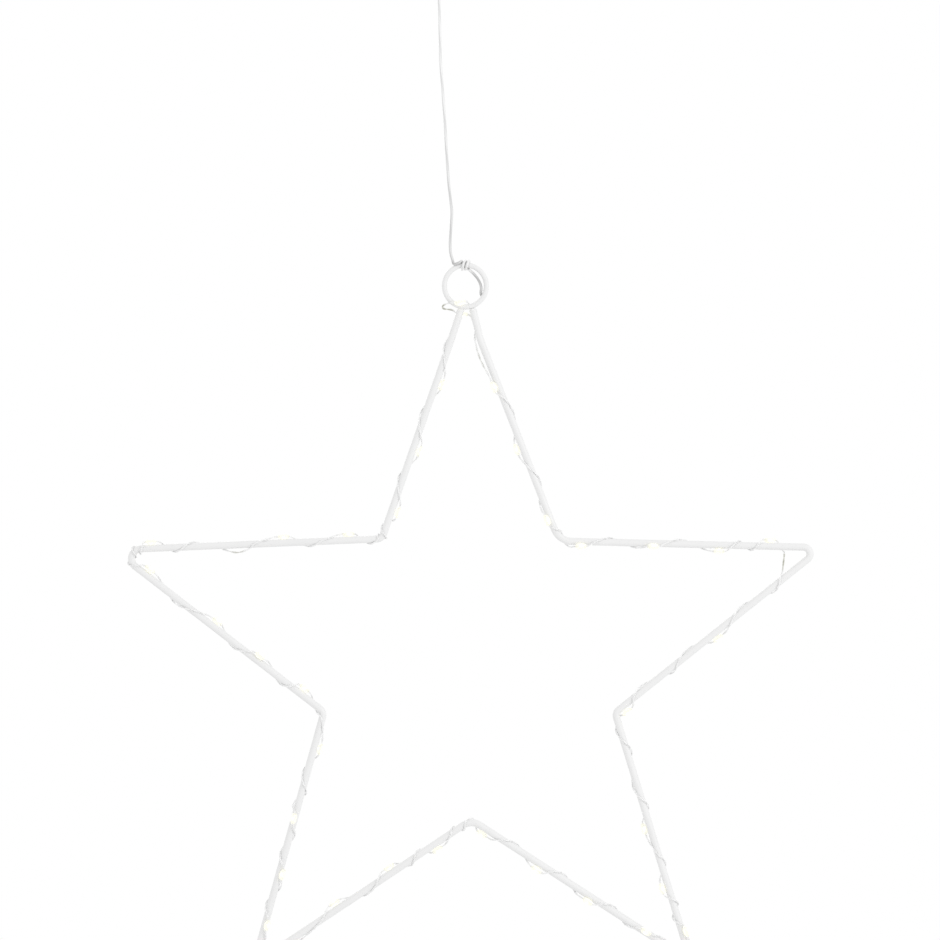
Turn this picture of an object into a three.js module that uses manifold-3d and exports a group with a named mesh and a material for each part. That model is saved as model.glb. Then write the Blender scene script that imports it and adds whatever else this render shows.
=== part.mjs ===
// A wire star wound with a string of small lights, hanging by its lead from a battery case.
// Millimetres, +Z up, +X to the right, the front towards -Y.
// The origin is the centre of the case's hanging hole.
import * as THREE from "three";
import { mergeVertices } from "three/addons/utils/BufferGeometryUtils.js";
import Module from "manifold-3d";

const wasm = await Module();
wasm.setup();

// How the star hangs: its lead is tied left of the middle, so it leans a little clockwise
const hangLeanDeg = 2.58;

// The star's wire, bent to five arms, with both of its ends welded to the ring
const armCount = 5;
const tipReach = 216.8;
const notchReach = 89.9;
const frameWireDiameter = 4.2;
const tipBendRadius = 5.3;
const notchBendRadius = 4.7;
const legBendRadius = 34;
const legKneeDistance = 25;
const rightLegSpread = 2.6;
const leftLegSpread = 0.4;
const legEndInset = 1.1;

// The ring at the top
const ringRadius = 12.3;
const ringWireDiameter = 3;
const ringSink = 4.1;
const ringShift = 0.3;

// The light string and its drops
const stringDiameter = 1.2;
const dropLength = 7;
const dropDiameter = 3.8;
const stringSlack = 0.25;
const slackEase = 7;
const slackRhythm = 0.4;
const seenFromDeg = -25;
const seenToDeg = 205;
const stringEndShare = 0.86;

// The lead, from the case to the ring and on to the splice
const leadDiameter = 1.6;
const sleeveDiameter = 2.6;
const sleeveLength = 4.8;
const sleeveLip = 0.9;
const sleeveTurnDeg = 145;
const leadJoinDeg = -26.2;
const leadJoinReach = 4.65;
const leadJoinGap = 0.45;
const leadJoinStraight = 1.1;

// The battery case
const cellDiameter = 14.5;
const cellLength = 50.5;
const cellShoulder = 1.2;
const nubDiameter = 5.5;
const nubHeight = 1.2;
const cellPlay = 0.5;
const caseWall = 2;
const topWall = 2.6;
const partitionWall = 1.4;
const boardBayHeight = 9.5;
const caseCorner = 4;
const springRoom = 4.6;
const contactSheet = 0.5;
const springWireDiameter = 0.7;
const springBaseDiameter = 9;
const springTopDiameter = 6;
const springTurns = 3;
const contactSlotWidth = 2.4;
const contactSlotDepth = 1.6;

// The cover that slides up and the plate below it
const coverThickness = 1.8;
const tongueThickness = 0.8;
const tongueDepth = 1;
const slidePlay = 0.25;
const coverGripCount = 5;
const coverGripWidth = 14;
const coverGripHeight = 0.9;
const coverGripDepth = 0.5;
const coverGripPitch = 2.2;
const coverGripLift = 6.6;

// The switch and its board
const switchTravel = 3;
const knobWidth = 4;
const knobHeight = 3.4;
const knobProud = 1.4;
const knobRidge = 0.5;
const flangeWidth = 9;
const flangeHeight = 6;
const flangeThickness = 1;
const switchBodyWidth = 8.6;
const switchBodyHeight = 4.4;
const switchBodyDepth = 3.5;
const boardWidth = 24;
const boardHeight = 7;
const boardThickness = 1.2;
const postDiameter = 3;
const postSpacing = 17;
const chipSize = 3.6;
const chipThickness = 1.4;

// The hanging tab and the strain relief
const eyeDiameter = 7;
const eyeRim = 2.6;
const eyeHeight = 6.4;
const tabThickness = 2.4;
const tabFootDepth = 1.3;
const reliefCollarDiameter = 7;
const reliefCollarHeight = 1.2;
const reliefNeckDiameter = 4.6;
const reliefLength = 8;
const reliefTopDiameter = 5.4;
const reliefMouthDiameter = 2.8;
const reliefGrooveCount = 3;
const reliefGrooveDepth = 0.45;

// Clearance between touching pieces, and how far a cutting tool runs past what it cuts
const seatGap = 0.3;
const overrun = 1;

// How finely round forms are divided
const wireSides = 12;
const ringSides = 10;
const ringSteps = 36;
const stringSides = 5;
const dropSides = 8;
const leadSides = 8;
const springSides = 6;
const springSteps = 10;
const cellSides = 24;
const smallSides = 12;
const reliefSides = 16;
const cornerSteps = 5;
const bendStep = THREE.MathUtils.degToRad(18);
const windStep = THREE.MathUtils.degToRad(40);

// Corners clockwise from the top, with the hand's errors: in turn, as a share of a tenth of a turn,
// and in reach and bend radius, as shares of the named ones
const cornerShares = [
  { turn: -0.021, reach: 0.986, bend: 1 },
  { turn: -0.005, reach: 0.995, bend: 2.4 },
  { turn: -0.011, reach: 1.004, bend: 0.76 },
  { turn: 0.006, reach: 0.997, bend: 1 },
  { turn: -0.02, reach: 1.001, bend: 1 },
  { turn: -0.017, reach: 1.01, bend: 1.85 },
  { turn: -0.007, reach: 0.998, bend: 1 },
  { turn: 0.002, reach: 0.998, bend: 1 },
  { turn: -0.003, reach: 1.011, bend: 1.1 },
  { turn: 0.031, reach: 1.001, bend: 1 },
];

// Where the string crosses the front of each side, clockwise from the top, as shares of the side
const crossingShares = [
  [0.402, 0.703, 0.931],
  [0.103, 0.378, 0.661, 0.752],
  [0.208, 0.434, 0.699, 0.914],
  [0.115, 0.346, 0.573, 0.734, 0.853],
  [0.218, 0.43, 0.639, 0.86],
  [0.031, 0.092, 0.26, 0.433, 0.681],
  [0.183, 0.381, 0.578, 0.713, 0.973],
  [0.158, 0.35, 0.633, 0.904],
  [0.062, 0.102, 0.261, 0.522, 0.772, 0.988],
  [0.02, 0.158, 0.455, 0.752],
];

// Where the drops sit on each side; two more are at the top of the star, on the way to the first side
const dropShares = [
  [0.355, 0.611, 0.908],
  [0.084, 0.357, 0.608, 0.802],
  [0.3, 0.521, 0.79, 0.963],
  [0.222, 0.461, 0.699, 0.88],
  [0.21, 0.459, 0.688, 0.937],
  [0.172, 0.364, 0.613, 0.842],
  [0.16, 0.362, 0.58, 0.858],
  [0.113, 0.32, 0.527, 0.847],
  [0.14, 0.36, 0.634, 0.876],
  [0.119, 0.376, 0.653],
];

// The drops that hide behind the wire, by side and by place along it
const hiddenDropShares = [
  { side: 2, place: 0 },
  { side: 2, place: 2 },
  { side: 3, place: 0 },
  { side: 8, place: 1 },
];

// The string cuts across the right tip: it leaves one side's inside and joins the next one's
const tipCutShares = { side: 1, leave: 0.858, join: 0.178 };

// Loose runs that sag inside the star: their side, where they start and end, and their slack
const looseRunShares = [
  { side: 0, from: 0.14, to: 0.335, slack: 4.8 },
  { side: 8, from: 0.415, to: 0.505, slack: 6 },
];

// The string's pass over the ring: turn round the ring from its top and wrap round its wire, in degrees
const ringPassTurnsDeg = [
  [167, -112],
  [171, -145],
  [174, -180],
  [175, -205],
];

// The string's route at the top of the star, from the ring's centre, as shares of the ring's radius;
// a drop sits between the first two of these points, and one between two others
const topDropRows = [0, 12];
const topRouteShares = [
  [0.065, -0.358, -0.74],
  [-0.596, -0.358, -0.835],
  [-0.7, -0.34, -0.825],
  [-0.8, -0.29, -0.82],
  [-0.95, -0.2, -0.87],
  [-1.07, -0.12, -0.93],
  [-1.125, -0.04, -1],
  [-1.08, 0.05, -1.075],
  [-0.96, 0.12, -1.1],
  [-0.8, 0.2, -1.11],
  [-0.63, 0.27, -1.12],
  [-0.54, 0.32, -1.17],
  [-0.476, 0.35, -1.26],
  [0.183, 0.35, -1.358],
  [0.244, 0.236, -1.431],
];

// The lead's turns on the ring: turn round the ring from its top and wrap round the ring's wire, in degrees
const hitchTurnsDeg = [
  [-28.6, 28],
  [-23.5, 48],
  [-17.5, 52],
  [-12, 38],
  [-9.2, 12],
  [-8.4, -20],
  [-8.8, -55],
  [-9.6, -90],
  [-10.6, -135],
  [-11.5, -180],
  [-9.2, -225],
  [-6, -270],
  [-2.6, -315],
  [0.2, -360],
  [0.4, -405],
  [0.3, -450],
  [0.1, -495],
  [0.3, -540],
  [2.4, -585],
  [4.6, -630],
  [6.6, -675],
  [8, -720],
  [8.8, -765],
  [9.8, -810],
  [11, -855],
  [12.3, -900],
];

// The lead's run down the ring's inner right: turn from its top in degrees, then reach and depth as shares
const ringRunShares = [
  [25, 0.735, 0],
  [40, 0.69, 0],
  [56, 0.682, 0],
  [72, 0.695, 0],
  [86, 0.73, 0],
  [98, 0.762, 0],
  [107, 0.775, 0.01],
  [113.5, 0.8, 0.06],
  [120, 0.88, 0.16],
];

// The lead's free route from the strain relief's mouth to the ring, x, y and z; chosen by hand
const leadRoute = [
  [0, 0, -87],
  [0, 0, -91],
  [0, 0, -97],
  [-0.1, 0, -105],
  [-0.2, 0, -115.5],
  [-0.5, 0, -133],
  [-0.9, 0, -150.6],
  [-0.5, 0, -168.2],
  [0, 0, -185.9],
  [0.2, 0, -203.5],
  [0.6, 0, -221.1],
  [1.3, 0, -232.9],
  [1.7, 0, -239.9],
  [1, 0, -247.5],
  [0, 0, -256.3],
  [-0.2, 0, -261.5],
  [0.2, 0, -265.3],
  [0.8, 0, -267.6],
];

// Helpers for solids

const fullTurn = 2 * Math.PI;

function degrees(value) {
  return THREE.MathUtils.degToRad(value);
}

function vector(x, y, z) {
  return new THREE.Vector3(x, y, z);
}

function geometryOf(vertices, triangles) {
  const geometry = new THREE.BufferGeometry();
  geometry.setAttribute("position", new THREE.Float32BufferAttribute(vertices, 3));
  geometry.setIndex(triangles);
  return geometry;
}

/** One closed tube through the points, mitred at each of them, with flat ends. */
function tube(points, radius, sides) {
  const directions = points.slice(1).map((point, i) => point.clone().sub(points[i]).normalize());
  const facing = new THREE.Quaternion().setFromUnitVectors(vector(0, 0, 1), directions[0]);
  let ring = Array.from({ length: sides }, (_, k) => {
    const angle = (fullTurn * k) / sides;
    const spoke = vector(radius * Math.cos(angle), radius * Math.sin(angle), 0);
    return spoke.applyQuaternion(facing).add(points[0]);
  });
  const rings = [ring];
  directions.forEach((direction, i) => {
    const mitre = (directions[i + 1] ?? direction).clone().add(direction).normalize();
    ring = ring.map((corner) => {
      const way = points[i + 1].clone().sub(corner).dot(mitre) / direction.dot(mitre);
      return corner.clone().addScaledVector(direction, way);
    });
    rings.push(ring);
  });
  const triangles = [];
  const last = (rings.length - 1) * sides;
  for (let i = 0; i < last; i += sides) {
    for (let k = 0; k < sides; k += 1) {
      const next = (k + 1) % sides;
      triangles.push(i + k, i + next, i + sides + next, i + k, i + sides + next, i + sides + k);
    }
  }
  for (let k = 1; k < sides - 1; k += 1) {
    triangles.push(0, k + 1, k, last, last + k, last + k + 1);
  }
  return geometryOf(rings.flat().flatMap((corner) => corner.toArray()), triangles);
}

/** A box with rounded corners in X and Z, centred on the origin. */
function slab(width, depth, height, corner = 0) {
  const [x, z] = [width / 2, height / 2];
  const outline = new THREE.Shape();
  if (corner > 0) {
    outline.absarc(x - corner, z - corner, corner, 0, Math.PI / 2);
    outline.absarc(corner - x, z - corner, corner, Math.PI / 2, Math.PI);
    outline.absarc(corner - x, corner - z, corner, Math.PI, 1.5 * Math.PI);
    outline.absarc(x - corner, corner - z, corner, 1.5 * Math.PI, 2 * Math.PI);
    outline.closePath();
  } else {
    outline.setFromPoints([[x, -z], [x, z], [-x, z], [-x, -z]].map(([a, b]) => new THREE.Vector2(a, b)));
  }
  return standing(outline, depth, cornerSteps);
}

/** An outline in X and Z given its thickness along Y, centred on Y. */
function standing(outline, depth, curveSegments) {
  const geometry = new THREE.ExtrudeGeometry(outline, { depth, bevelEnabled: false, curveSegments });
  return geometry.rotateX(Math.PI / 2).translate(0, depth / 2, 0);
}

/** A solid turned about Z from a closed profile of radius and height. */
function turned(profile, segments) {
  const points = profile.map(([radius, height]) => new THREE.Vector2(radius, height));
  return new THREE.LatheGeometry(points, segments).rotateX(Math.PI / 2);
}

function solidOf(geometry) {
  const bare = geometry.clone();
  bare.deleteAttribute("normal");
  bare.deleteAttribute("uv");
  const merged = mergeVertices(bare);
  const mesh = new wasm.Mesh({
    numProp: 3,
    vertProperties: Float32Array.from(merged.attributes.position.array),
    triVerts: Uint32Array.from(merged.index.array),
  });
  return new wasm.Manifold(mesh);
}

function geometryFrom(solid) {
  const mesh = solid.getMesh();
  return geometryOf(Array.from(mesh.vertProperties), Array.from(mesh.triVerts));
}

function cut(body, ...tools) {
  return geometryFrom(tools.reduce((solid, tool) => solid.subtract(solidOf(tool)), solidOf(body)));
}

function joined(...bodies) {
  return geometryFrom(bodies.map(solidOf).reduce((solid, other) => solid.add(other)));
}

const nodes = [];

function piece(name, geometry, material, place = vector(0, 0, 0)) {
  const mesh = new THREE.Mesh(geometry, new THREE.MeshStandardMaterial(material));
  mesh.name = name;
  mesh.position.copy(place);
  nodes.push(mesh);
  return mesh;
}

/** The least gap between parts of one tube that aren't neighbours along it. */
function leastGap(points, diameter) {
  const neighbours = 2.5 * diameter;
  const run = [0];
  points.slice(1).forEach((point, i) => run.push(run[i] + point.distanceTo(points[i])));
  const fine = [];
  points.slice(1).forEach((point, i) => {
    const steps = Math.max(1, Math.ceil((run[i + 1] - run[i]) / (diameter / 2)));
    for (let k = 0; k < steps; k += 1) {
      const share = k / steps;
      fine.push({ at: points[i].clone().lerp(point, share), run: run[i] + (run[i + 1] - run[i]) * share });
    }
  });
  let least = Infinity;
  fine.forEach((a, i) => {
    for (let k = i + 1; k < fine.length; k += 1) {
      if (fine[k].run - a.run > neighbours) {
        least = Math.min(least, a.at.distanceTo(fine[k].at));
      }
    }
  });
  return least - diameter;
}

/** One piece of wire or cord along the points, with its least gap to itself printed. */
function woundPiece(name, points, diameter, sides, material, place) {
  console.log(`${name} least gap to itself ${leastGap(points, diameter).toFixed(2)} mm`);
  return piece(name, tube(points, diameter / 2, sides), material, place);
}

// The star's wire

const finishes = {
  paint: { color: 0xf3f2ef, roughness: 0.45, metalness: 0 },
  string: { color: 0xc9cacc, roughness: 0.35, metalness: 0.4 },
  drop: { color: 0xfff3da, roughness: 0.15, metalness: 0, emissive: 0xffd896, emissiveIntensity: 0.8 },
  lead: { color: 0xdadbdc, roughness: 0.4, metalness: 0 },
  sleeve: { color: 0xeceae6, roughness: 0.5, metalness: 0 },
  plastic: { color: 0xf2f1ee, roughness: 0.5, metalness: 0 },
  rubber: { color: 0xe2e1de, roughness: 0.7, metalness: 0 },
  steel: { color: 0xc8c9ca, roughness: 0.3, metalness: 1 },
  board: { color: 0x2f6b45, roughness: 0.5, metalness: 0 },
  cell: { color: 0x8f9498, roughness: 0.35, metalness: 0.6 },
};

const cornerTurn = fullTurn / (2 * armCount);
const corners = cornerShares.map(({ turn, reach }, i) => {
  const angle = (i + turn) * cornerTurn;
  const radius = reach * (i % 2 === 0 ? tipReach : notchReach);
  return new THREE.Vector2(radius * Math.sin(angle), radius * Math.cos(angle));
});
const topCorner = corners[0];
const lastSide = corners.length - 1;
const ringCentre = vector(topCorner.x + ringShift, 0, topCorner.y - ringSink + ringRadius);

function sideFrom(i) {
  const from = corners[i];
  const to = corners[(i + 1) % corners.length];
  return { from, to, direction: to.clone().sub(from).normalize() };
}

/** Where a leg ends under the ring, beside the line of its side. */
function legEnd(direction, spread, outward) {
  const level = ringCentre.z - ringRadius - legEndInset;
  const along = (level - topCorner.y) / direction.y;
  return topCorner.clone().addScaledVector(direction, along).add(new THREE.Vector2(outward * spread, 0));
}

const rightDirection = sideFrom(0).direction;
const leftDirection = sideFrom(lastSide).direction.clone().negate();
const wireCorners = [
  { at: legEnd(rightDirection, rightLegSpread, 1) },
  { at: topCorner.clone().addScaledVector(rightDirection, legKneeDistance), radius: legBendRadius },
  ...corners.slice(1).map((at, i) => {
    const base = i % 2 === 0 ? notchBendRadius : tipBendRadius;
    return { at, radius: base * cornerShares[i + 1].bend };
  }),
  { at: topCorner.clone().addScaledVector(leftDirection, legKneeDistance), radius: legBendRadius },
  { at: legEnd(leftDirection, leftLegSpread, -1) },
];

/** The wire's centreline as straight runs and arcs. */
function roundedRoute(stops) {
  const pieces = [];
  let start = stops[0].at.clone();
  let length = 0;
  stops.slice(1).forEach(({ at, radius }, i) => {
    const direction = at.clone().sub(stops[i].at).normalize();
    const after = stops[i + 2];
    const next = after ? after.at.clone().sub(at).normalize() : direction;
    const bend = Math.atan2(direction.cross(next), direction.dot(next));
    const reach = after ? radius * Math.tan(Math.abs(bend) / 2) : 0;
    const end = at.clone().addScaledVector(direction, -reach);
    pieces.push({ start, direction, length: start.distanceTo(end), begins: length });
    length += start.distanceTo(end);
    if (after) {
      const inward = new THREE.Vector2(-direction.y, direction.x).multiplyScalar(Math.sign(bend) * radius);
      const centre = end.clone().add(inward);
      pieces.push({ centre, radius, direction, bend, length: radius * Math.abs(bend), begins: length });
      length += radius * Math.abs(bend);
      start = at.clone().addScaledVector(next, reach);
    }
  });
  return { pieces, length };
}

const wire = roundedRoute(wireCorners);

function onPiece(part, run) {
  if (!part.centre) {
    return { at: part.start.clone().addScaledVector(part.direction, run), direction: part.direction.clone() };
  }
  const side = Math.sign(part.bend);
  const direction = part.direction.clone().rotateAround(new THREE.Vector2(), (side * run) / part.radius);
  const inward = new THREE.Vector2(-direction.y, direction.x).multiplyScalar(side * part.radius);
  return { at: part.centre.clone().sub(inward), direction };
}

/** The centreline's place, and its directions along the wire and out of the star, at a length along it. */
function placeAt(length) {
  const part = wire.pieces.findLast(({ begins }) => begins <= Math.max(0, length));
  const { at, direction } = onPiece(part, Math.min(Math.max(0, length - part.begins), part.length));
  return {
    at: vector(at.x, 0, at.y),
    along: vector(direction.x, 0, direction.y),
    outward: vector(-direction.y, 0, direction.x),
  };
}

/** The length along the wire that lies nearest to a share of a side. */
function stationOn(side, share) {
  const { from, to } = sideFrom(side);
  const target = from.clone().lerp(to, share);
  let best = { distance: Infinity, length: 0 };
  wire.pieces.forEach((part) => {
    let run;
    if (part.centre) {
      const ray = target.clone().sub(part.centre);
      const startRay = onPiece(part, 0).at.sub(part.centre);
      run = Math.sign(part.bend) * Math.atan2(startRay.cross(ray), startRay.dot(ray)) * part.radius;
    } else {
      run = target.clone().sub(part.start).dot(part.direction);
    }
    run = Math.min(Math.max(0, run), part.length);
    const distance = onPiece(part, run).at.distanceTo(target);
    if (distance < best.distance) {
      best = { distance, length: part.begins + run };
    }
  });
  return best.length;
}

function wirePoints() {
  const points = [onPiece(wire.pieces[0], 0).at];
  wire.pieces.forEach((part) => {
    const steps = part.centre ? Math.ceil(Math.abs(part.bend) / bendStep) : 1;
    for (let k = 1; k <= steps; k += 1) {
      points.push(onPiece(part, (part.length * k) / steps).at);
    }
  });
  return points.map((at) => vector(at.x, 0, at.y));
}

function ringTorus(tubeRadius) {
  const torus = new THREE.TorusGeometry(ringRadius, tubeRadius, ringSides, ringSteps);
  return torus.rotateX(Math.PI / 2).translate(ringCentre.x, 0, ringCentre.z);
}

function makeFrame() {
  const legs = tube(wirePoints(), frameWireDiameter / 2, wireSides);
  piece("star_frame", cut(legs, ringTorus(ringWireDiameter / 2 + seatGap)), finishes.paint);
  piece("hanging_ring", ringTorus(ringWireDiameter / 2), finishes.paint);
}

// The light string

const stringReach = frameWireDiameter / 2 + seatGap + stringDiameter / 2;
const dropReach = frameWireDiameter / 2 + seatGap + dropDiameter / 2;
const seatHalf = (dropLength + stringDiameter) / 2;
const frontAngle = fullTurn / 4;
const insideTurn = 0.75 * fullTurn;

/** A point on the wound string. Its angle is 0 outside and falls by the back and the inside to the front. */
function woundPoint(length, angle, reach, ahead = 0) {
  const { at, along, outward } = placeAt(length);
  const beside = at.addScaledVector(outward, reach * Math.cos(angle)).addScaledVector(along, ahead);
  return beside.add(vector(0, -reach * Math.sin(angle), 0));
}

function angleBetween(stops, length) {
  const next = Math.max(1, stops.findIndex((stop) => stop.length >= length));
  const [a, b] = [stops[next - 1], stops[next]];
  return a.angle + ((b.angle - a.angle) * (length - a.length)) / (b.length - a.length);
}

/** The angle nearest to this one that is straight behind the wire. */
function broughtBehind(angle) {
  return Math.round((angle + frontAngle) / fullTurn) * fullTurn - frontAngle;
}

/** The angle nearest to this one that the front view shows beside or before the wire. */
function broughtToView(angle) {
  const face = THREE.MathUtils.euclideanModulo(angle, fullTurn);
  const [low, high] = [degrees(seenToDeg), fullTurn + degrees(seenFromDeg)];
  if (face <= low || face >= high) {
    return angle;
  }
  return angle + (face < (low + high) / 2 ? low - face : high - face);
}

function windingStops() {
  const crossings = crossingShares.flatMap((shares, side) => shares.map((share) => ({ side, share })));
  const stops = crossings.map(({ side, share }, k) => ({
    length: stationOn(side, share),
    angle: frontAngle - k * fullTurn,
  }));
  const insideAt = (side, share) => {
    const before = (crossing) => crossing.side + crossing.share < side + share;
    return frontAngle - crossings.findLastIndex(before) * fullTurn - insideTurn;
  };
  const { side, leave, join } = tipCutShares;
  const tipInside = insideAt(side, leave);
  stops.push({ length: stationOn(side, leave), angle: tipInside, leaves: true });
  stops.push({ length: stationOn(side + 1, join), angle: tipInside });
  looseRunShares.forEach((loose) => {
    const inside = insideAt(loose.side, loose.from);
    stops.push({ length: stationOn(loose.side, loose.from), angle: inside + windStep / 2 });
    stops.push({ length: stationOn(loose.side, loose.to), angle: inside - windStep / 2 });
  });
  const [first] = looseRunShares;
  const start = stationOn(first.side, first.from) - dropLength / 2;
  stops.push({ length: start, angle: insideAt(first.side, first.from) + 2 * windStep });
  const lastTurn = frontAngle - (crossings.length - 1) * fullTurn;
  stops.push({ length: stationOn(lastSide, stringEndShare), angle: lastTurn - fullTurn / 2 });
  return stops.sort((a, b) => a.length - b.length);
}

/** The stops along the wound string, each drop as two of them that hold it straight beside the wire. */
function stopsWithDrops() {
  const stops = windingStops();
  const drops = dropShares.flatMap((shares, side) =>
    shares.map((share, place) => {
      const length = stationOn(side, share);
      const angle = angleBetween(stops, length);
      const unseen = hiddenDropShares.some((hidden) => hidden.side === side && hidden.place === place);
      return { length, angle: unseen ? broughtBehind(angle) : broughtToView(angle) };
    }),
  );
  const clear = seatHalf + 2 * stringDiameter;
  const kept = stops.filter((stop) => drops.every((drop) => Math.abs(stop.length - drop.length) > clear));
  drops.forEach((drop) => {
    kept.push({ length: drop.length - seatHalf, angle: drop.angle, drop: "start", centre: drop.length });
    kept.push({ length: drop.length + seatHalf, angle: drop.angle, drop: "end", centre: drop.length });
  });
  return kept.sort((a, b) => a.length - b.length);
}

function slackAt(length, angle) {
  const even = (stringSlack * (1 + Math.sin(slackRhythm * angle))) / 2;
  return looseRunShares.reduce((most, { side, from, to, slack }) => {
    const [start, end] = [stationOn(side, from), stationOn(side, to)];
    const share = THREE.MathUtils.clamp((length - start) / (end - start), 0, 1);
    return Math.max(most, slack * stringSlack * Math.sin(Math.PI * share));
  }, even);
}

/** The wound string's points, with the pairs of them that hold a drop. */
function woundRoute() {
  const stops = stopsWithDrops();
  const points = [];
  const seats = [];
  const reachAt = (length, angle) => {
    const near = Math.min(...stops.filter((stop) => stop.drop).map((stop) => Math.abs(stop.length - length)));
    const lift = Math.max(0, 1 - near / slackEase) ** 2;
    const free = stringReach + slackAt(length, angle);
    return free + Math.max(0, dropReach - free) * lift;
  };
  stops.forEach((stop, i) => {
    points.push(
      stop.drop
        ? woundPoint(stop.centre, stop.angle, dropReach, stop.length - stop.centre)
        : woundPoint(stop.length, stop.angle, reachAt(stop.length, stop.angle)),
    );
    const next = stops[i + 1];
    if (stop.drop === "start") {
      seats.push(points.length - 1);
    }
    if (!next || stop.drop === "start" || stop.leaves) {
      return;
    }
    const bends = Math.acos(Math.min(1, placeAt(stop.length).along.dot(placeAt(next.length).along)));
    const steps = Math.ceil(Math.max((stop.angle - next.angle) / windStep, bends / bendStep));
    for (let k = 1; k < steps; k += 1) {
      const share = k / steps;
      const length = THREE.MathUtils.lerp(stop.length, next.length, share);
      const angle = THREE.MathUtils.lerp(stop.angle, next.angle, share);
      points.push(woundPoint(length, angle, reachAt(length, angle)));
    }
  });
  return { points, seats };
}

/** A point beside the ring's wire: turned from its top, wrapped from its outside to its front. */
function besideRing(turnDeg, wrapDeg, reach) {
  const [turn, wrap] = [degrees(turnDeg), degrees(wrapDeg)];
  const radius = ringRadius + reach * Math.cos(wrap);
  const away = vector(radius * Math.sin(turn), -reach * Math.sin(wrap), radius * Math.cos(turn));
  return away.add(ringCentre);
}

const sleeveMiddle = besideRing(sleeveTurnDeg, -90, (ringWireDiameter + sleeveDiameter) / 2 + seatGap);
const sleeveDirection = vector(Math.cos(degrees(sleeveTurnDeg)), 0, -Math.sin(degrees(sleeveTurnDeg)));

function topRoute() {
  const reach = ringWireDiameter / 2 + seatGap + stringDiameter / 2 + seatGap;
  const out = sleeveMiddle.clone().addScaledVector(sleeveDirection, sleeveLength / 2 + seatGap);
  return [
    out,
    out.clone().addScaledVector(sleeveDirection, stringDiameter),
    ...ringPassTurnsDeg.map(([turn, wrap]) => besideRing(turn, wrap, reach)),
    ...topRouteShares.map((shares) => ringCentre.clone().addScaledVector(vector(...shares), ringRadius)),
  ];
}

/** One drop: an oval of resin on the string, with the string's bore through it. */
function dropGeometry() {
  const bore = stringDiameter / 2 + seatGap;
  const radius = dropDiameter / 2;
  const edge = Math.acos(bore / radius);
  const half = dropLength / 2 / Math.sin(edge);
  const shares = [-1, -0.5, 0, 0.5, 1];
  const outer = shares.map((share) => [radius * Math.cos(edge * share), half * Math.sin(edge * share)]);
  return turned([...outer, outer[0]], dropSides);
}

function makeString() {
  const top = topRoute();
  const wound = woundRoute();
  const points = [...top, ...wound.points];
  const firstOf = top.length - topRouteShares.length;
  const topSeats = topDropRows.map((row) => firstOf + row);
  const seats = [...topSeats, ...wound.seats.map((seat) => seat + top.length)];
  woundPiece("light_string", points, stringDiameter, stringSides, finishes.string);
  seats.forEach((seat, i) => {
    const [a, b] = [points[seat], points[seat + 1]];
    const name = `led_drop_${String(i + 1).padStart(2, "0")}`;
    const drop = piece(name, dropGeometry(), finishes.drop, a.clone().lerp(b, 0.5));
    drop.quaternion.setFromUnitVectors(vector(0, 0, 1), b.clone().sub(a).normalize());
  });
}

// The lead

const leadJoin = besideRing(leadJoinDeg, 0, leadJoinReach);

function makeLeadTurns() {
  const reach = ringWireDiameter / 2 + seatGap + leadDiameter / 2;
  const into = sleeveMiddle.clone().addScaledVector(sleeveDirection, -sleeveLength / 2 - seatGap);
  const run = ringRunShares.map(([turn, share, depth]) => {
    const angle = degrees(turn);
    const away = vector(share * Math.sin(angle), depth, share * Math.cos(angle));
    return ringCentre.clone().addScaledVector(away, ringRadius);
  });
  const points = [
    leadJoin,
    leadJoin.clone().add(vector(0, 0, -leadJoinStraight)),
    ...hitchTurnsDeg.map(([turn, wrap]) => besideRing(turn, wrap, reach)),
    ...run,
    into.clone().addScaledVector(sleeveDirection, -leadDiameter),
    into,
  ];
  woundPiece("lead_turns", points, leadDiameter, leadSides, finishes.lead);
  const [half, radius] = [sleeveLength / 2, sleeveDiameter / 2];
  const profile = [
    [0, -half],
    [sleeveLip, -half],
    [radius, sleeveLip - half],
    [radius, half - sleeveLip],
    [sleeveLip, half],
    [0, half],
  ];
  const sleeve = piece("splice_sleeve", turned(profile, smallSides), finishes.sleeve, sleeveMiddle);
  sleeve.quaternion.setFromUnitVectors(vector(0, 0, 1), sleeveDirection);
}

// The battery case

const caseWidth = 2 * cellDiameter + 3 * cellPlay + 2 * caseWall;
const caseDepth = caseWall + cellDiameter + 2 * cellPlay + coverThickness;
const bayHeight = cellLength + springRoom + contactSheet + 5 * seatGap;
const caseHeight = topWall + bayHeight + partitionWall + boardBayHeight + caseWall;
const [frontY, backY] = [-caseDepth / 2, caseDepth / 2];
const caseTop = -eyeHeight;
const caseBottom = caseTop - caseHeight;
const bayTop = caseTop - topWall;
const bayBottom = bayTop - bayHeight;
const boardBayTop = bayBottom - partitionWall;
const boardBayBottom = caseBottom + caseWall;
const coverInside = frontY + coverThickness;
const openWidth = caseWidth - 2 * caseWall;
const cellY = backY - caseWall - cellPlay - cellDiameter / 2;
const cellX = (cellDiameter + cellPlay) / 2;
const seatZ = bayBottom - partitionWall / 2;
const boardZ = boardBayTop - seatGap - boardHeight / 2;
const flangeY = coverInside + seatGap + flangeThickness / 2;
const switchBodyFront = flangeY + flangeThickness / 2 + seatGap;
const boardFront = switchBodyFront + switchBodyDepth;
const tailX = cellX + springBaseDiameter / 2;
const tabHalfWidth = eyeDiameter / 2 + eyeRim;

/** A block between two corners, as a cutting tool or a body. */
function block(low, high) {
  const size = high.map((value, i) => value - low[i]);
  const middle = high.map((value, i) => (value + low[i]) / 2);
  return slab(...size).translate(...middle);
}

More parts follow.
